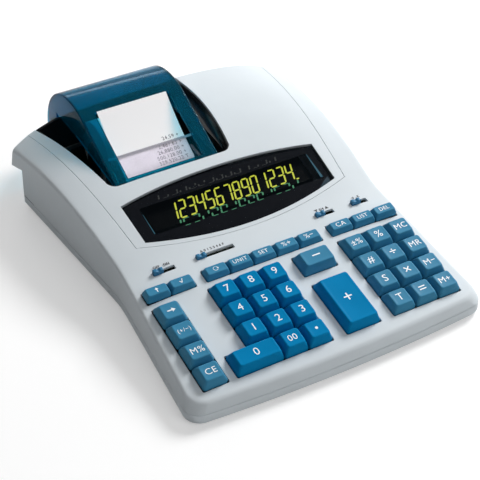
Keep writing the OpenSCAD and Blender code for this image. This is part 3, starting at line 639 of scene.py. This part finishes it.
# Everything under the rear overhang and behind the recessed wall
def rearRecess():
    reach = house["rearWidth"] / 2 + house["cutPast"]
    back = house["rearY"] + house["lipDepth"]
    outline = recessLine(0, reach) + [(reach, back), (-reach, back)]
    return lipCut(prism("rearRecess", outline, -1, house["cutHigh"], machineFrame))


# Keyboard: pitch, rows and blocks as on the deck
keyboard = dict(
    pitch=18.5, gap=0.6, opening=0.5, openingCorner=1.4, openingReach=14, tall=8, low=6.4, flat=4.5,
    flatDepth=10.4, flatV=79.8, leftX=-100.3, digitX=-58.4, zeroWidth=35.5, plusX=7.8, plusWidth=27,
    plusDepth=46.5, operatorX=45.3, middleX=-55.1, minusV=55.5, skirt=-1.5, skirtTop=0.8,
)
pitch = keyboard["pitch"]
slots = dict(v=102, width=3.8, corner=0.7, knob=7.2, low=-4.5, height=2.6, gap=0.3, edge=0.35,
             gripLines=(-1.4, -0.5, 0.5, 1.4), gripHalf=0.7, gripDeep=0.9, scaleV=4.4, scaleSize=2.8,
             scaleBold=0.03)
# Left end, length and scale of each slot
switchPlaces = {
    "switch_print": (-85.5, 17, "OFF   ON"), "switch_decimal": (-52.3, 29.8, "A 0 1 2 3 4 6 F"),
    "switch_rounding": (44.4, 15.4, "▼ 5/4 ▲"), "switch_mode": (74.6, 14, "0   K"),
}


def openingOutlines():
    k, g = keyboard, keyboard["opening"]

    def block(x, v, w, d):
        return rectangle(x - g, v - g, x + w + g, v + d + g)

    left, zeroX = k["digitX"] - g, k["digitX"] + pitch - k["zeroWidth"] - g
    right, top = k["digitX"] + 3 * pitch + g, 4 * pitch + g
    digits = [(zeroX, -g), (right, -g), (right, top), (left, top), (left, pitch + g), (zeroX, pitch + g)]
    return [digits, block(k["leftX"], 0, pitch, 4 * pitch),
            block(k["plusX"], 0, k["plusWidth"], k["plusDepth"]),
            block(k["plusX"], k["minusV"], k["plusWidth"], pitch),
            block(k["operatorX"], 0, 3 * pitch, 4 * pitch),
            *(block(k[x], k["flatV"], n * pitch, k["flatDepth"])
              for x, n in (("leftX", 2), ("middleX", 5), ("operatorX", 3)))]


def deckCutter():
    outlines = [rounded(outline, keyboard["openingCorner"]) for outline in openingOutlines()]
    low, high = slots["v"] - slots["width"] / 2, slots["v"] + slots["width"] / 2
    for x, length, words in switchPlaces.values():
        outlines.append(rounded(rectangle(x, low, x + length, high), slots["corner"]))
    reach = keyboard["openingReach"]
    cutters = [prism("opening", outline, -reach, reach) for outline in outlines]
    return settle(joined(cutters, "deckCutter"), deckFrame)


def planCutter(outline):
    return prism("planCutter", outline, *planReach, machineFrame)


def housing():
    shell = carve(upperShell(), rearRecess())
    cover = twin(shell, "upperCover")
    shell.name = "topCase"
    gap = house["seamGap"] / 2
    carve(shell, planCutter(seamOutline(-gap)))
    carve(shell, deckCutter())
    carve(cover, planCutter(seamOutline(gap)), "INTERSECT")
    holes = [planCutter(windowOutline(-window["gap"])), planCutter(wellOutline(0, seam["back"]))]
    carve(cover, joined(holes, "coverCutter"))
    for piece, node in ((shell, "top_case"), (cover, "upper_cover")):
        applied(smooth(piece, 28), "WEIGHTED_NORMAL", keep_sharp=True)
        dress(piece, "housingGray", "housing", [node])
    print("housing: upper shells cut")


housing()


# Lower shell: tray, recessed rear wall with the inlet, and the ledge under the overhang
lower = dict(edge=0.5, wallReach=114, ledgeReach=105, ledgeGap=3, paintedShadeY=245)
inlet = dict(x=70, z=15, r=4, length=30)
screws = dict(places=((-60.4, 100.6), (67.2, 100.6), (-101, 205), (101, 205)), r=3.1, deep=4.6)


def bottomCase():
    foot, wall, high = house["foot"], house["floorWall"], house["cutHigh"]
    tray = prism("bottomCase", baseOutline(0), foot, house["parting"] - house["groove"])
    bevelEdges(tray, lambda a, b: abs(a.z - b.z) < hair, lower["edge"], 2)
    settle(tray, machineFrame)
    carve(tray, prism("hollow", baseOutline(wall), foot + house["floor"], high, machineFrame))
    carve(tray, rearRecess())
    for x, y in screws["places"]:
        carve(tray, rod(screws["r"], 2 * screws["deep"], (x, y, 0), alongZ, 32))
    reach = lower["wallReach"]
    strip = recessLine(0, reach) + list(reversed(recessLine(wall, reach)))
    rearWall = lipCut(prism("rearWall", strip, foot, high, machineFrame))
    reach = lower["ledgeReach"]
    outer = baseOutline(wall + 2 * house["seamGap"] + lower["ledgeGap"])
    rearLine = [(x, y) for x, y in outer if y > recessY(x) + 1 and abs(x) < reach]
    rearLine.sort(key=lambda point: -point[0])
    ledge = lipCut(prism("ledge", recessLine(wall, reach) + rearLine, 0, high, machineFrame))
    lipCut(ledge, house["floor"], keepBelow=False)
    place = (inlet["x"], recessY(inlet["x"]), inlet["z"])
    carve(rearWall, rod(inlet["r"], inlet["length"], place, alongY, 40))
    piece = smooth(joined([tray, rearWall, ledge], "bottomCase"), 30)
    paint(piece, "housingGray")
    piece.data.materials.append(paints["tubBlackAndPaintedShade"])
    # Painted shade: the grey tray's inner faces at the rear, under the printer well, take the tub's black
    # as the dark inside of the closed housing
    for face in piece.data.polygons:
        inside = face.normal.z > 0.5 or face.normal.y < -0.5
        if inside and face.center.y / mm - shiftY > lower["paintedShadeY"] and face.center.z / mm > foot + 1:
            face.material_index = 1
    carried(piece, "housing", ["bottom_case"])
    print("housing: lower shell")


bottomCase()


# Keys: one blank for each size, copied to every place
tallInset = dict(side=2.4, front=1.8, rear=3.4, corner=1.8, rim=0.6)
flatInset = dict(side=1.4, front=1.4, rear=1.4, corner=1.3, rim=0.5)
dishSteps = ((0.8, 0.12), (0.8, 0.08))


def keyBlank(name, width, depth, height, inset):
    w, d = width - keyboard["gap"], depth - keyboard["gap"]
    topW, topD = w - 2 * inset["side"], d - inset["front"] - inset["rear"]
    piece = box(name, (-w / 2, -d / 2, keyboard["skirt"]), (w / 2, d / 2, height))
    bisect(piece, (0, 0, keyboard["skirtTop"] * mm), (0, 0, 1))
    choose(piece, "FACE", lambda face: face.normal.z > 0.9)
    bpy.ops.transform.resize(value=(topW / w, topD / d, 1))
    bpy.ops.transform.translate(value=(0, (inset["front"] - inset["rear"]) / 2 * mm, 0))
    done()
    bevelEdges(piece, lambda a, b: abs(a.z - b.z) > 0.7 * (a - b).length, inset["corner"], 5)
    bevelEdges(piece, lambda a, b: min(a.z, b.z) > height - hair, inset["rim"], 3)
    choose(piece, "FACE", lambda face: face.normal.z > 0.999)
    topW, topD = topW - 2 * inset["rim"], topD - 2 * inset["rim"]
    for step, drop in dishSteps:
        extrude(-drop)
        bpy.ops.transform.resize(value=(1 - 2 * step / topW, 1 - 2 * step / topD, 1))
        topW, topD = topW - 2 * step, topD - 2 * step
    done()
    outward(piece)
    return smooth(piece, 40)


# Entries say the key's name and its legend, row by row from the front
keyRows = ("clear_entry:CE - total:T double_zero:00 equals:= point:• memory_plus:M+",
           "margin:M% 1:1 subtotal:S 2:2 times:× 3:3 memory_minus:M−",
           "sign_change:(+/−) 4:4 number_date:# 5:5 divide:÷ 6:6 memory_recall:MR",
           "right_shift:→ 7:7 change_percent:±% 8:8 percent:% 9:9 memory_clear:MC")
rowCells = (("low", "leftX", 0), ("square", "digitX", 0), ("low", "operatorX", 0), ("square", "digitX", 1),
            ("low", "operatorX", 1), ("square", "digitX", 2), ("low", "operatorX", 2))
flatRows = {"leftX": "paper_feed:↑ root:√",
            "middleX": "convert:⟳ local:UNIT rate:SET tax_plus:%+ tax_minus:%−",
            "operatorX": "all_clear:CA recall:LIST void:DEL"}
keySizes = {"square": ("pitch", "pitch"), "low": ("pitch", "pitch"), "zero": ("zeroWidth", "pitch"),
            "plus": ("plusWidth", "plusDepth"), "minus": ("plusWidth", "pitch"),
            "flat": ("pitch", "flatDepth")}
vividKinds = ("square", "zero", "plus")


def keyTop(kind):
    return keyboard.get(kind, keyboard["tall"]), flatInset if kind == "flat" else tallInset


def keyPlaces():
    k = keyboard
    places = {}

    def put(entry, kind, x, v):
        name, words = entry.split(":")
        places["key_" + name] = (kind, x, v, words)

    for r, row in enumerate(keyRows):
        for entry, (kind, start, c) in zip(row.split(), rowCells):
            if entry != "-":
                put(entry, kind, k[start] + (c + 0.5) * pitch, (r + 0.5) * pitch)
    plusMiddle = k["plusX"] + k["plusWidth"] / 2
    put("0:0", "zero", k["digitX"] + pitch - k["zeroWidth"] / 2, pitch / 2)
    put("plus:+", "plus", plusMiddle, k["plusDepth"] / 2)
    put("minus:−", "minus", plusMiddle, k["minusV"] + pitch / 2)
    for start, row in flatRows.items():
        for i, entry in enumerate(row.split()):
            put(entry, "flat", k[start] + (i + 0.5) * pitch, k["flatV"] + k["flatDepth"] / 2)
    return places


def keys():
    blanks = {kind: keyBlank(kind + "Key", keyboard[width], keyboard[depth], *keyTop(kind))
              for kind, (width, depth) in keySizes.items()}
    for name, (kind, x, v, words) in keyPlaces().items():
        cap = settle(twin(blanks[kind], "cap_" + name), deckFrame @ shifted(x, v, 0))
        finish, slot = ("keyBlue", "blue_keys") if kind in vividKinds else ("keyTeal", "teal_keys")
        dress(cap, finish, name + "_cap", [name])
    for blank in blanks.values():
        bpy.data.objects.remove(blank)
    print("keys: forty caps")


keys()


# Lettering: text made a thin solid, laid on a frame
letters = dict(half=0.02, lift=0.03, spacing=1.08, curve=4, merge=0.002)


def lettering(name, words, size, matrix=None, bold=0.0):
    bpy.ops.object.text_add()
    piece = added(name)
    give(piece.data, body=words, size=size * mm, offset=bold * size * mm, extrude=letters["half"] * mm,
         space_character=letters["spacing"], resolution_u=letters["curve"],
         align_x="CENTER", align_y="CENTER")
    pick(piece)
    bpy.ops.object.convert(target="MESH")
    piece = bpy.context.object
    editing(piece)
    bpy.ops.mesh.remove_doubles(threshold=letters["merge"] * mm)
    done()
    outward(piece)
    return settle(piece, matrix)


legendSizes = dict(arrow=6, flatArrow=4.4, flat=5.6, flatLong=4.5, sign=13, operator=10.8, one=8.4,
                   two=6.8, long=4.4)

# Arrow legends are drawn, as thin as the text: turn of each arrow, and its outline at a length of one
arrowTurns = {"→": 0, "↑": 90}
arrowShape = ((-0.5, -0.08), (0.08, -0.08), (0.08, -0.3), (0.5, 0), (0.08, 0.3), (0.08, 0.08),
              (-0.5, 0.08))


def arrow(name, words, size, matrix):
    outline = [(x * size, y * size) for x, y in arrowShape]
    turn = Matrix.Rotation(radians(arrowTurns[words]), 4, "Z")
    return prism(name, outline, -letters["half"], letters["half"], matrix @ turn)


def legendKind(kind, words):
    if words in arrowTurns:
        return "flatArrow" if kind == "flat" else "arrow"
    if kind == "flat":
        return "flat" if len(words) < 3 else "flatLong"
    if kind in ("plus", "minus"):
        return "sign"
    if words in "×÷=":
        return "operator"
    return {1: "one", 2: "two"}.get(len(words), "long")


def legends():
    dish = sum(drop for step, drop in dishSteps)
    for name, (kind, x, v, words) in keyPlaces().items():
        height, inset = keyTop(kind)
        spot = shifted(x, v + (inset["front"] - inset["rear"]) / 2, height - dish + letters["lift"])
        draw = arrow if words in arrowTurns else lettering
        label = draw("legend_" + name, words, legendSizes[legendKind(kind, words)], deckFrame @ spot)
        dress(label, "legendWhite", name + "_cap")
    print("keys: legends")


legends()


# Slide switches: knob with a grip groove, and the scale over each slot
def switches():
    s = slots
    v, half = s["v"], s["width"] / 2 - s["gap"]
    for name, (x, length, words) in switchPlaces.items():
        start = x + s["gap"]
        end, middle = start + s["knob"], start + s["knob"] / 2
        knob = box("knob_" + name, (start, v - half, s["low"]), (end, v + half, s["height"]))
        for offset in s["gripLines"]:
            bisect(knob, ((middle + offset) * mm, 0, 0), (1, 0, 0))
        choose(knob, "VERT", lambda point: (point.co.z > 0
                                            and abs(point.co.x / mm - middle) < s["gripHalf"]))
        bpy.ops.transform.translate(value=(0, 0, -s["gripDeep"] * mm))
        done()
        bevelEdges(knob, lambda a, b: min(a.z, b.z) > 0, s["edge"], 2)
        smooth(settle(knob, deckFrame), 40)
        dress(knob, "knobTeal", name + "_knob", [name])
        spot = deckFrame @ shifted(x + length / 2, v + s["scaleV"], letters["lift"])
        label = lettering("scale_" + name, words, s["scaleSize"], spot, s["scaleBold"])
        dress(label, "printBlack", "housing")
    print("switches: knobs and scales")


switches()


# Display: dark lens, printed mask under it, lit digits, and glowing bars under the lens that paint the
# digits' reflections and glints on the lens
stock(lensSurface, {"lensDark": dict(colour=(0.004, 0.006, 0.008), alpha=0.3, shine=0.0)})
# digitGlow lights the segments; the mirror, ghost and glint paints are painted reflections
glows = {
    "digitGlow": dict(colour=(0.92, 1.0, 0.09), strength=1.25),
    "digitMirror": dict(colour=(0.2, 0.9, 0.45), strength=0.55),
    "digitGhostReflection": dict(colour=(0.9, 1.0, 1.0), strength=0.045),
    "glintTeal": dict(colour=(0.12, 0.68, 1.0), strength=0.28),
    "glintFaint": dict(colour=(0.08, 0.6, 1.0), strength=0.08),
}
stock(glowSurface, glows)
display = dict(
    words="12345678901234", pitch=7.45, width=4.9, height=15.2, bar=1.25, barGap=0.2, barThick=0.08,
    slant=16, point=((-1, -0.7), (1, -0.7), (1.2, 0.5), (-1, 0.5)), mask=(-67.5, 21, 71.5, 46.9),
    maskCorner=2, maskInset=1.2, maskDrop=0.2, maskThick=0.4, glintLow=0.04, glintHigh=0.1,
)
# The mirrored and ghost rows are painted reflections of the lit digits: flipped glowing bars under the
# lens
digitRows = {
    "litDigits": dict(at=(-47.6, 32.0), share=1, drop=8.98, skips="", paint="digitGlow"),
    "mirroredDigits": dict(at=(-49.7, 26.4), share=-0.4, drop=2.75, skips="gb", paint="digitMirror"),
    "ghostReflectionDigits": dict(at=(-54.0, 53.0), share=-0.25, drop=2.75, skips="gde", paint="digitGhostReflection"),
}
# Painted reflections: glowing teal strips under the lens that stand in for glints on its edges and corner
glints = {
    "leftGlint": ("glintTeal", [(-67.4, 22), (-66.7, 22), (-67.1, 41), (-67.3, 41)]),
    "rightGlint": ("glintTeal", [(69.6, 22), (71.6, 22), (71.3, 46), (70.9, 46)]),
    "cornerGlint": ("glintFaint", [(58, 8.6), (74, 14.5), (75, 21), (70, 18)]),
}
segmentsOf = {"0": "abcdef", "1": "bc", "2": "abged", "3": "abgcd", "4": "fgbc", "5": "afgcd",
              "6": "afgedc", "7": "abc", "8": "abcdefg", "9": "abcdfg"}


def segmentOutline(letter):
    w, h, half = display["width"], display["height"], display["bar"] / 2
    ends = {"a": ((0, h), (w, h)), "g": ((0, h / 2), (w, h / 2)), "d": ((0, 0), (w, 0)),
            "f": ((0, h / 2), (0, h)), "b": ((w, h / 2), (w, h)), "e": ((0, 0), (0, h / 2)),
            "c": ((w, 0), (w, h / 2))}[letter]
    start, end = Vector(ends[0]), Vector(ends[1])
    along = (end - start).normalized()
    side = Vector((-along.y, along.x)) * half
    start, end = start + along * display["barGap"], end - along * display["barGap"]
    near, past = start + along * half, end - along * half
    return [start, near - side, past - side, end, past + side, near + side]


def digitBars(name, row):
    d = display
    lean = tan(radians(d["slant"]))
    left, base = row["at"]
    outlines = []
    for i, digit in enumerate(d["words"]):
        for letter in segmentsOf[digit]:
            if letter not in row["skips"]:
                flat = [(x, v * row["share"]) for x, v in segmentOutline(letter)]
                outlines.append([(left + i * d["pitch"] + x + v * lean, base + v) for x, v in flat])
    if row["share"] == 1:
        end = left + len(d["words"]) * d["pitch"]
        outlines.append([(end + x, base + v) for x, v in d["point"]])
    low = -row["drop"]
    bars = [prism("bar", outline, low, low + d["barThick"]) for outline in outlines]
    dress(settle(joined(bars, name), displayFrame), row["paint"], "housing")


def onPanel(outline):
    return [(x, (y - house["displayY"]) / cos(displayTilt)) for x, y in outline]


def displayParts():
    d = display
    top = -window["recess"]
    low = top - window["thick"]
    lens = prism("displayLens", onPanel(windowOutline(0)), low, top)
    bevelEdges(lens, lambda a, b: min(a.z, b.z) > top - hair, window["edge"], 2)
    smooth(settle(lens, displayFrame), 30)
    dress(lens, "lensDark", "housing", ["display_window"])
    under = low - d["maskDrop"]
    outline = onPanel(windowOutline(d["maskInset"]))
    mask = prism("windowMask", outline, under - d["maskThick"], under)
    carve(mask, prism("maskHole", rounded(rectangle(*d["mask"]), d["maskCorner"]), -5, 0))
    dress(settle(mask, displayFrame), "maskBlack", "housing")
    for name, row in digitRows.items():
        digitBars(name, row)
    low, high = under + d["glintLow"], under + d["glintHigh"]
    for name, (glow, outline) in glints.items():
        dress(prism(name, outline, low, high, displayFrame), glow, "housing")
    print("display: lens, mask and digits")


displayParts()


# Printer: hood, tear plate, paper tail with printed lines, roll and well
printer = dict(x=-32, paper=57, slope=0.702, y=193, z=46, end=239.8, start=34, sag=2.4, rollY=247,
               rollZ=36.5, rollR=25.5, rollEdge=0.3, core=6)
hood = dict(width=84, r=54.5, y=257, z=27, tilt=24.5, wall=2, edge=1.2, front=182.5, lip=2.5, opening=61,
            openingGap=0.25, openingReach=(40, 90), hingeY=303, hingeZ=36, pin=2, pinLength=4.5, rim=54.6,
            rimBack=289, foot=32, rollerY=200)
rollPlace = (printer["x"], printer["rollY"], printer["rollZ"])
clears = {
    "hoodTeal": dict(colour=(0.002, 0.3, 0.43), rough=0.04, ior=1.1, shine=0.3, clear=0.89, shade=0.3,
                     body=(0.1, 0.86, 0.91), dense=700),
    "clearPlate": dict(colour=(0.595, 0.573, 0.622), rough=0.05, ior=1.45, shine=0.2, clear=1.0,
                       shade=0.15),
}
papers = {
    # The strip's glow is painted light that brightens it; the roll, the same paper, has none
    "paperWhitePaintedGlow": dict(colour=(0.96, 0.955, 0.965), glow=0.09),
    "rollPaper": dict(colour=(0.88, 0.88, 0.87), glow=0.0,
                      centre=machineFrame @ (Vector(rollPlace) * mm)),
}
stock(clearSurface, clears)
stock(paperSurface, papers)


# The hood from the side: the front edge, the dome, and five points under it
def hoodProfile():
    h = hood
    tilt = radians(h["tilt"])
    tangent = (h["y"] - h["r"] * sin(tilt), h["z"] + h["r"] * cos(tilt))
    frontZ = tangent[1] - (tangent[0] - h["front"]) * tan(tilt)
    low = frontZ - h["wall"] / cos(tilt)
    rear = degrees(asin((h["foot"] - h["z"]) / h["r"]))
    dome = [(h["front"], frontZ)] + arc(h["y"], h["z"], h["r"], 90 + h["tilt"], rear, 40)
    under = [(h["rimBack"], h["foot"]), (h["rimBack"], h["rim"]),
             (printer["rollY"], h["rim"]), (h["rollerY"], low), (h["front"], low)]
    return dome, under


def hoodShell():
    h = hood
    x, half = printer["x"], h["width"] / 2
    dome, under = hoodProfile()
    piece = prism("smokedHood", dome + under, x - half, x + half)

    def onDome(point):
        return any(abs(point.x - y) + abs(point.y - z) < 2 * hair for y, z in dome)

    # The profile still lies flat here, so its heights are along Y
    def isUnder(face):
        return min(face.normal.x, face.normal.y) < -0.5 and face.center.x / mm > h["front"] + hair

    bevelEdges(piece, lambda a, b: abs(a.z - b.z) < hair and onDome(a) and onDome(b), h["edge"], 4)
    choose(piece, "FACE", isUnder)
    bpy.ops.mesh.delete(type="FACE")
    done()
    settle(piece, acrossFrame)
    applied(piece, "SOLIDIFY", thickness=h["wall"] * mm, offset=-1)
    side, (low, high) = h["opening"] / 2, h["openingReach"]
    hole = box("hoodOpening", (x - side, h["front"] + h["lip"], low),
               (x + side, printer["end"] + h["openingGap"], high))
    carve(piece, settle(hole, machineFrame))
    reach = half - h["wall"] - h["pinLength"] / 2
    places = [(x + hand * reach, h["hingeY"], h["hingeZ"]) for hand in (-1, 1)]
    pins = [rod(h["pin"], h["pinLength"], place, alongX, 24) for place in places]
    smooth(joined([piece] + pins, "smokedHood"), 35)
    dress(piece, "hoodTeal", "hood", ["printer_cover"])


# The paper hangs a little below the straight line from the plate to the hood
def paperSag(y):
    s = share((y - printer["y"]) / (printer["end"] - printer["y"]))
    return printer["sag"] * 4 * s * (1 - s)


def paperLine(y):
    return printer["z"] + (y - printer["y"]) * printer["slope"] - paperSag(y)


tearPlate = dict(front=191.8, back=211, lift=0.6, thick=1.6, thinned=0.7, half=35, teeth=58, tooth=0.9,
                 strip=2.4, edge=0.15)


# Plate drawn flat, with a strip of teeth at its upper edge, thinned towards them and laid along the paper
def tearParts():
    p, half = tearPlate, tearPlate["half"]
    turn = atan(printer["slope"])
    length = (p["back"] - p["front"]) / cos(turn) - p["lift"]
    step = 2 * half / p["teeth"]
    joint = length - p["strip"]
    teeth = [(-half, joint), (half, joint)]
    for i in range(p["teeth"]):
        x = half - i * step
        teeth += [(x, length - p["tooth"]), (x - step / 2, length)]
    teeth.append((-half, length - p["tooth"]))
    place = tilted(printer["x"], p["front"], paperLine(p["front"]) + p["lift"], turn)
    made = []
    for name, outline in (("tearPlate", rectangle(-half, 0, half, joint)), ("tearTeeth", teeth)):
        piece = prism(name, outline, 0, p["thick"])
        bevelEdges(piece, lambda a, b: abs(a.x - b.x) > half and abs(a.y - b.y) < hair, p["edge"], 2)
        for point in piece.data.vertices:
            point.co.z *= 1 - p["thinned"] * point.co.y / mm / length
        settle(piece, place)
        for point in piece.data.vertices:
            point.co.z -= paperSag(point.co.y / mm - shiftY) * mm
        made.append(smooth(piece, 35))
    dress(made[0], "clearPlate", "hood", ["tear_bar"])
    dress(made[1], "teethGray", "hood")


tail = dict(bend=3.0, steps=16, thick=0.25, top=0.2, under=0.05)
printing = dict(lines=["24.59 +", "2,487.63 +", "26,880.00 +", "500,128.00 +", "529,520.22 T"],
                y=[212.7, 207.7, 204.0, 200.3, 196.6], size=4.2, margin=4, lift=0.25)


def paperParts():
    p = printer
    x, y, half = p["x"], p["y"], p["paper"] / 2
    bendZ = p["z"] - tail["bend"]
    ys = [mix(y + tail["bend"], p["end"], i / tail["steps"]) for i in range(tail["steps"] + 1)]
    outline = [(y, p["start"]), (y - tail["thick"], p["start"]), (y - tail["thick"], bendZ)]
    outline += [(along, paperLine(along) + tail["top"]) for along in ys]
    outline += [(along, paperLine(along) + tail["under"]) for along in reversed(ys)]
    outline.append((y, bendZ))
    piece = smooth(prism("paperTail", outline, x - half, x + half, acrossFrame), 30)
    dress(piece, "paperWhitePaintedGlow", "hood", ["paper_strip"])
    rows = []
    for i, (words, at) in enumerate(zip(printing["lines"], printing["y"])):
        row = lettering(f"printedRow{i}", words, printing["size"])
        reachX = max(corner[0] for corner in row.bound_box)
        turn = atan(paperLine(at + 0.5) - paperLine(at - 0.5))
        spot = tilted(x + half - printing["margin"], at, paperLine(at) + printing["lift"], turn)
        rows.append(settle(row, spot @ Matrix.Translation((-reachX, 0, 0))))
    dress(joined(rows, "printedRows"), "printGray", "hood")


def rollParts():
    roll = rod(printer["rollR"], printer["paper"], rollPlace, alongX, 96)
    roll.name = "paperRoll"
    bevelEdges(roll, lambda a, b: abs(a.x - b.x) < hair, printer["rollEdge"], 2)
    carve(roll, rod(printer["core"], 2 * printer["paper"], rollPlace, alongX, 48))
    dress(smooth(roll, 35), "rollPaper", "roll", ["paper_roll"])


# Lining of the well from the cover's edge down to the tub, hollowed on the right
lining = dict(inset=0.5, drop=0.7, back=284, deep=9, thick=0.5, side=1.0, right=7, rows=6, leftTrim=0.09,
              hollowReach=30)


def wellLining():
    p = lining
    outline = wellOutline(p["inset"], p["back"])
    line = [Vector(point) for point in outline[-1:] + outline[:-1]]
    line[0] = line[0].lerp(line[1], p["leftTrim"])
    last = len(line) - 1
    piece = grid("wellLining", last, p["rows"])
    for point in piece.data.vertices:
        i, t = round((point.co.x + 0.5) * last), 0.5 - point.co.y
        at = line[i]
        along = line[min(i + 1, last)] - line[max(i - 1, 0)]
        inward = Vector((-along.y, along.x)).normalized()
        hollow = share((at.y - well["y"] - well["corner"]) / p["hollowReach"]) if at.x > 0 else 0
        turn = pi / 2 * t
        flat = at + inward * mix(p["side"], p["right"], hollow) * (1 - cos(turn))
        z = topZ(at.x, at.y) - p["drop"] - p["deep"] * sin(turn)
        point.co = Vector((flat.x, flat.y, z)) * mm
    applied(piece, "SOLIDIFY", thickness=p["thick"] * mm, offset=-1)
    outward(piece)
    smooth(settle(piece, machineFrame), 40)
    dress(piece, "linerBlack", "housing")


hoodShell()
tearParts()
paperParts()
rollParts()
wellLining()
print("printer: hood, tear plate, paper, roll and lining")


# Construction nodes that stay as they are get their finish
finishes = {"display_tube": "tubeBlack", "printer_tub": "tubBlackAndPaintedShade", "feed_roller": "rubberBlack",
            "print_mechanism": "mechanismGray", "circuit_board": "boardDark", "key_mat": "matDark",
            "feet": "rubberBlack", "case_screws": "screwSteel"}
for nodeName, finish in finishes.items():
    paint(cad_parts[nodeName], finish)
print("construction nodes: finishes")


# Stage: pale floor, soft lights, camera at the photo's place
stage = dict(floor=6.0, floorColour=(0.72, 0.72, 0.72), floorGlow=0.36, worldLow=0.13, worldHigh=0.9,
             bright=(0.35, 0.93, -0.05), brightFrom=0.2)
camera = dict(place=(-0.3771, -0.687935, 0.6319), turn=29.3158, dip=38.9294, lens=101.48, sensor=36)
lamps = {
    "keyLamp": dict(place=(1.2, 0.32, 1.15), size=0.7, power=26.5),
    "fillLamp": dict(place=(0.45, -1.35, 1.2), size=1.2, power=7.5),
    "rearStrip": dict(place=(0.43, 1.16, 0.39), size=0.9, tall=0.16, power=2.2),
}


# One for rays that meet a surface straight, in a reflection or through clear plastic
def seenRays(tree):
    path = addNode(tree, "LightPath")
    seen = path.outputs["Is Camera Ray"]
    for name in ("Is Glossy Ray", "Is Transmission Ray"):
        seen = addNode(tree, "Math", {0: seen, 1: path.outputs[name]}, operation="MAXIMUM").outputs[0]
    return seen


def floorSurface(tree, look):
    shader, where = basics(tree)
    pale = Vector(look["floorColour"])
    feed(shader, {"Base Color": tintNode(noiseNode(where, 300, 2.0), pale * 0.99, pale),
                  "Roughness": 0.9, "Emission Color": white,
                  "Emission Strength": spreadNode(seenRays(tree), 0, look["floorGlow"], 0, 1)})


def worldLight():
    world = bpy.data.worlds.new("studio")
    bpy.context.scene.world = world
    world.use_nodes = True
    tree = world.node_tree
    where = addNode(tree, "TexCoord").outputs["Generated"]
    toward = addNode(tree, "VectorMath", {0: where, 1: stage["bright"]}, operation="DOT_PRODUCT")
    studio = spreadNode(toward.outputs["Value"], stage["worldLow"], stage["worldHigh"],
                        stage["brightFrom"], 1)
    seen = addNode(tree, "Mix", {"Factor": seenRays(tree), "A": studio, "B": 1})
    feed(tree.nodes["Background"], {"Color": white, "Strength": seen.outputs["Result"]})


# Turns a lamp or camera so that it looks along a direction
def aim(piece, direction):
    piece.rotation_euler = direction.to_track_quat("-Z", "Y").to_euler()


def stageParts():
    bpy.ops.mesh.primitive_plane_add(size=stage["floor"])
    floor = added("floor")
    stock(floorSurface, {"floorPale": stage})
    paint(floor, "floorPale")
    for name, lamp in lamps.items():
        bpy.ops.object.light_add(type="AREA", location=lamp["place"])
        light = added(name)
        give(light.data, shape="RECTANGLE" if "tall" in lamp else "DISK", size=lamp["size"],
             size_y=lamp.get("tall", lamp["size"]), energy=lamp["power"])
        aim(light, -Vector(lamp["place"]))
    worldLight()
    bpy.ops.object.camera_add(location=camera["place"])
    eye = added("photoEye")
    turn, dip = radians(camera["turn"]), radians(camera["dip"])
    aim(eye, Vector((sin(turn) * cos(dip), cos(turn) * cos(dip), -sin(dip))))
    give(eye.data, lens=camera["lens"], sensor_width=camera["sensor"])
    eye.data.dof.use_dof = False
    bpy.context.scene.camera = eye
    bpy.context.scene.view_settings.view_transform = "Standard"
    print("stage: floor, lamps and camera")


stageParts()
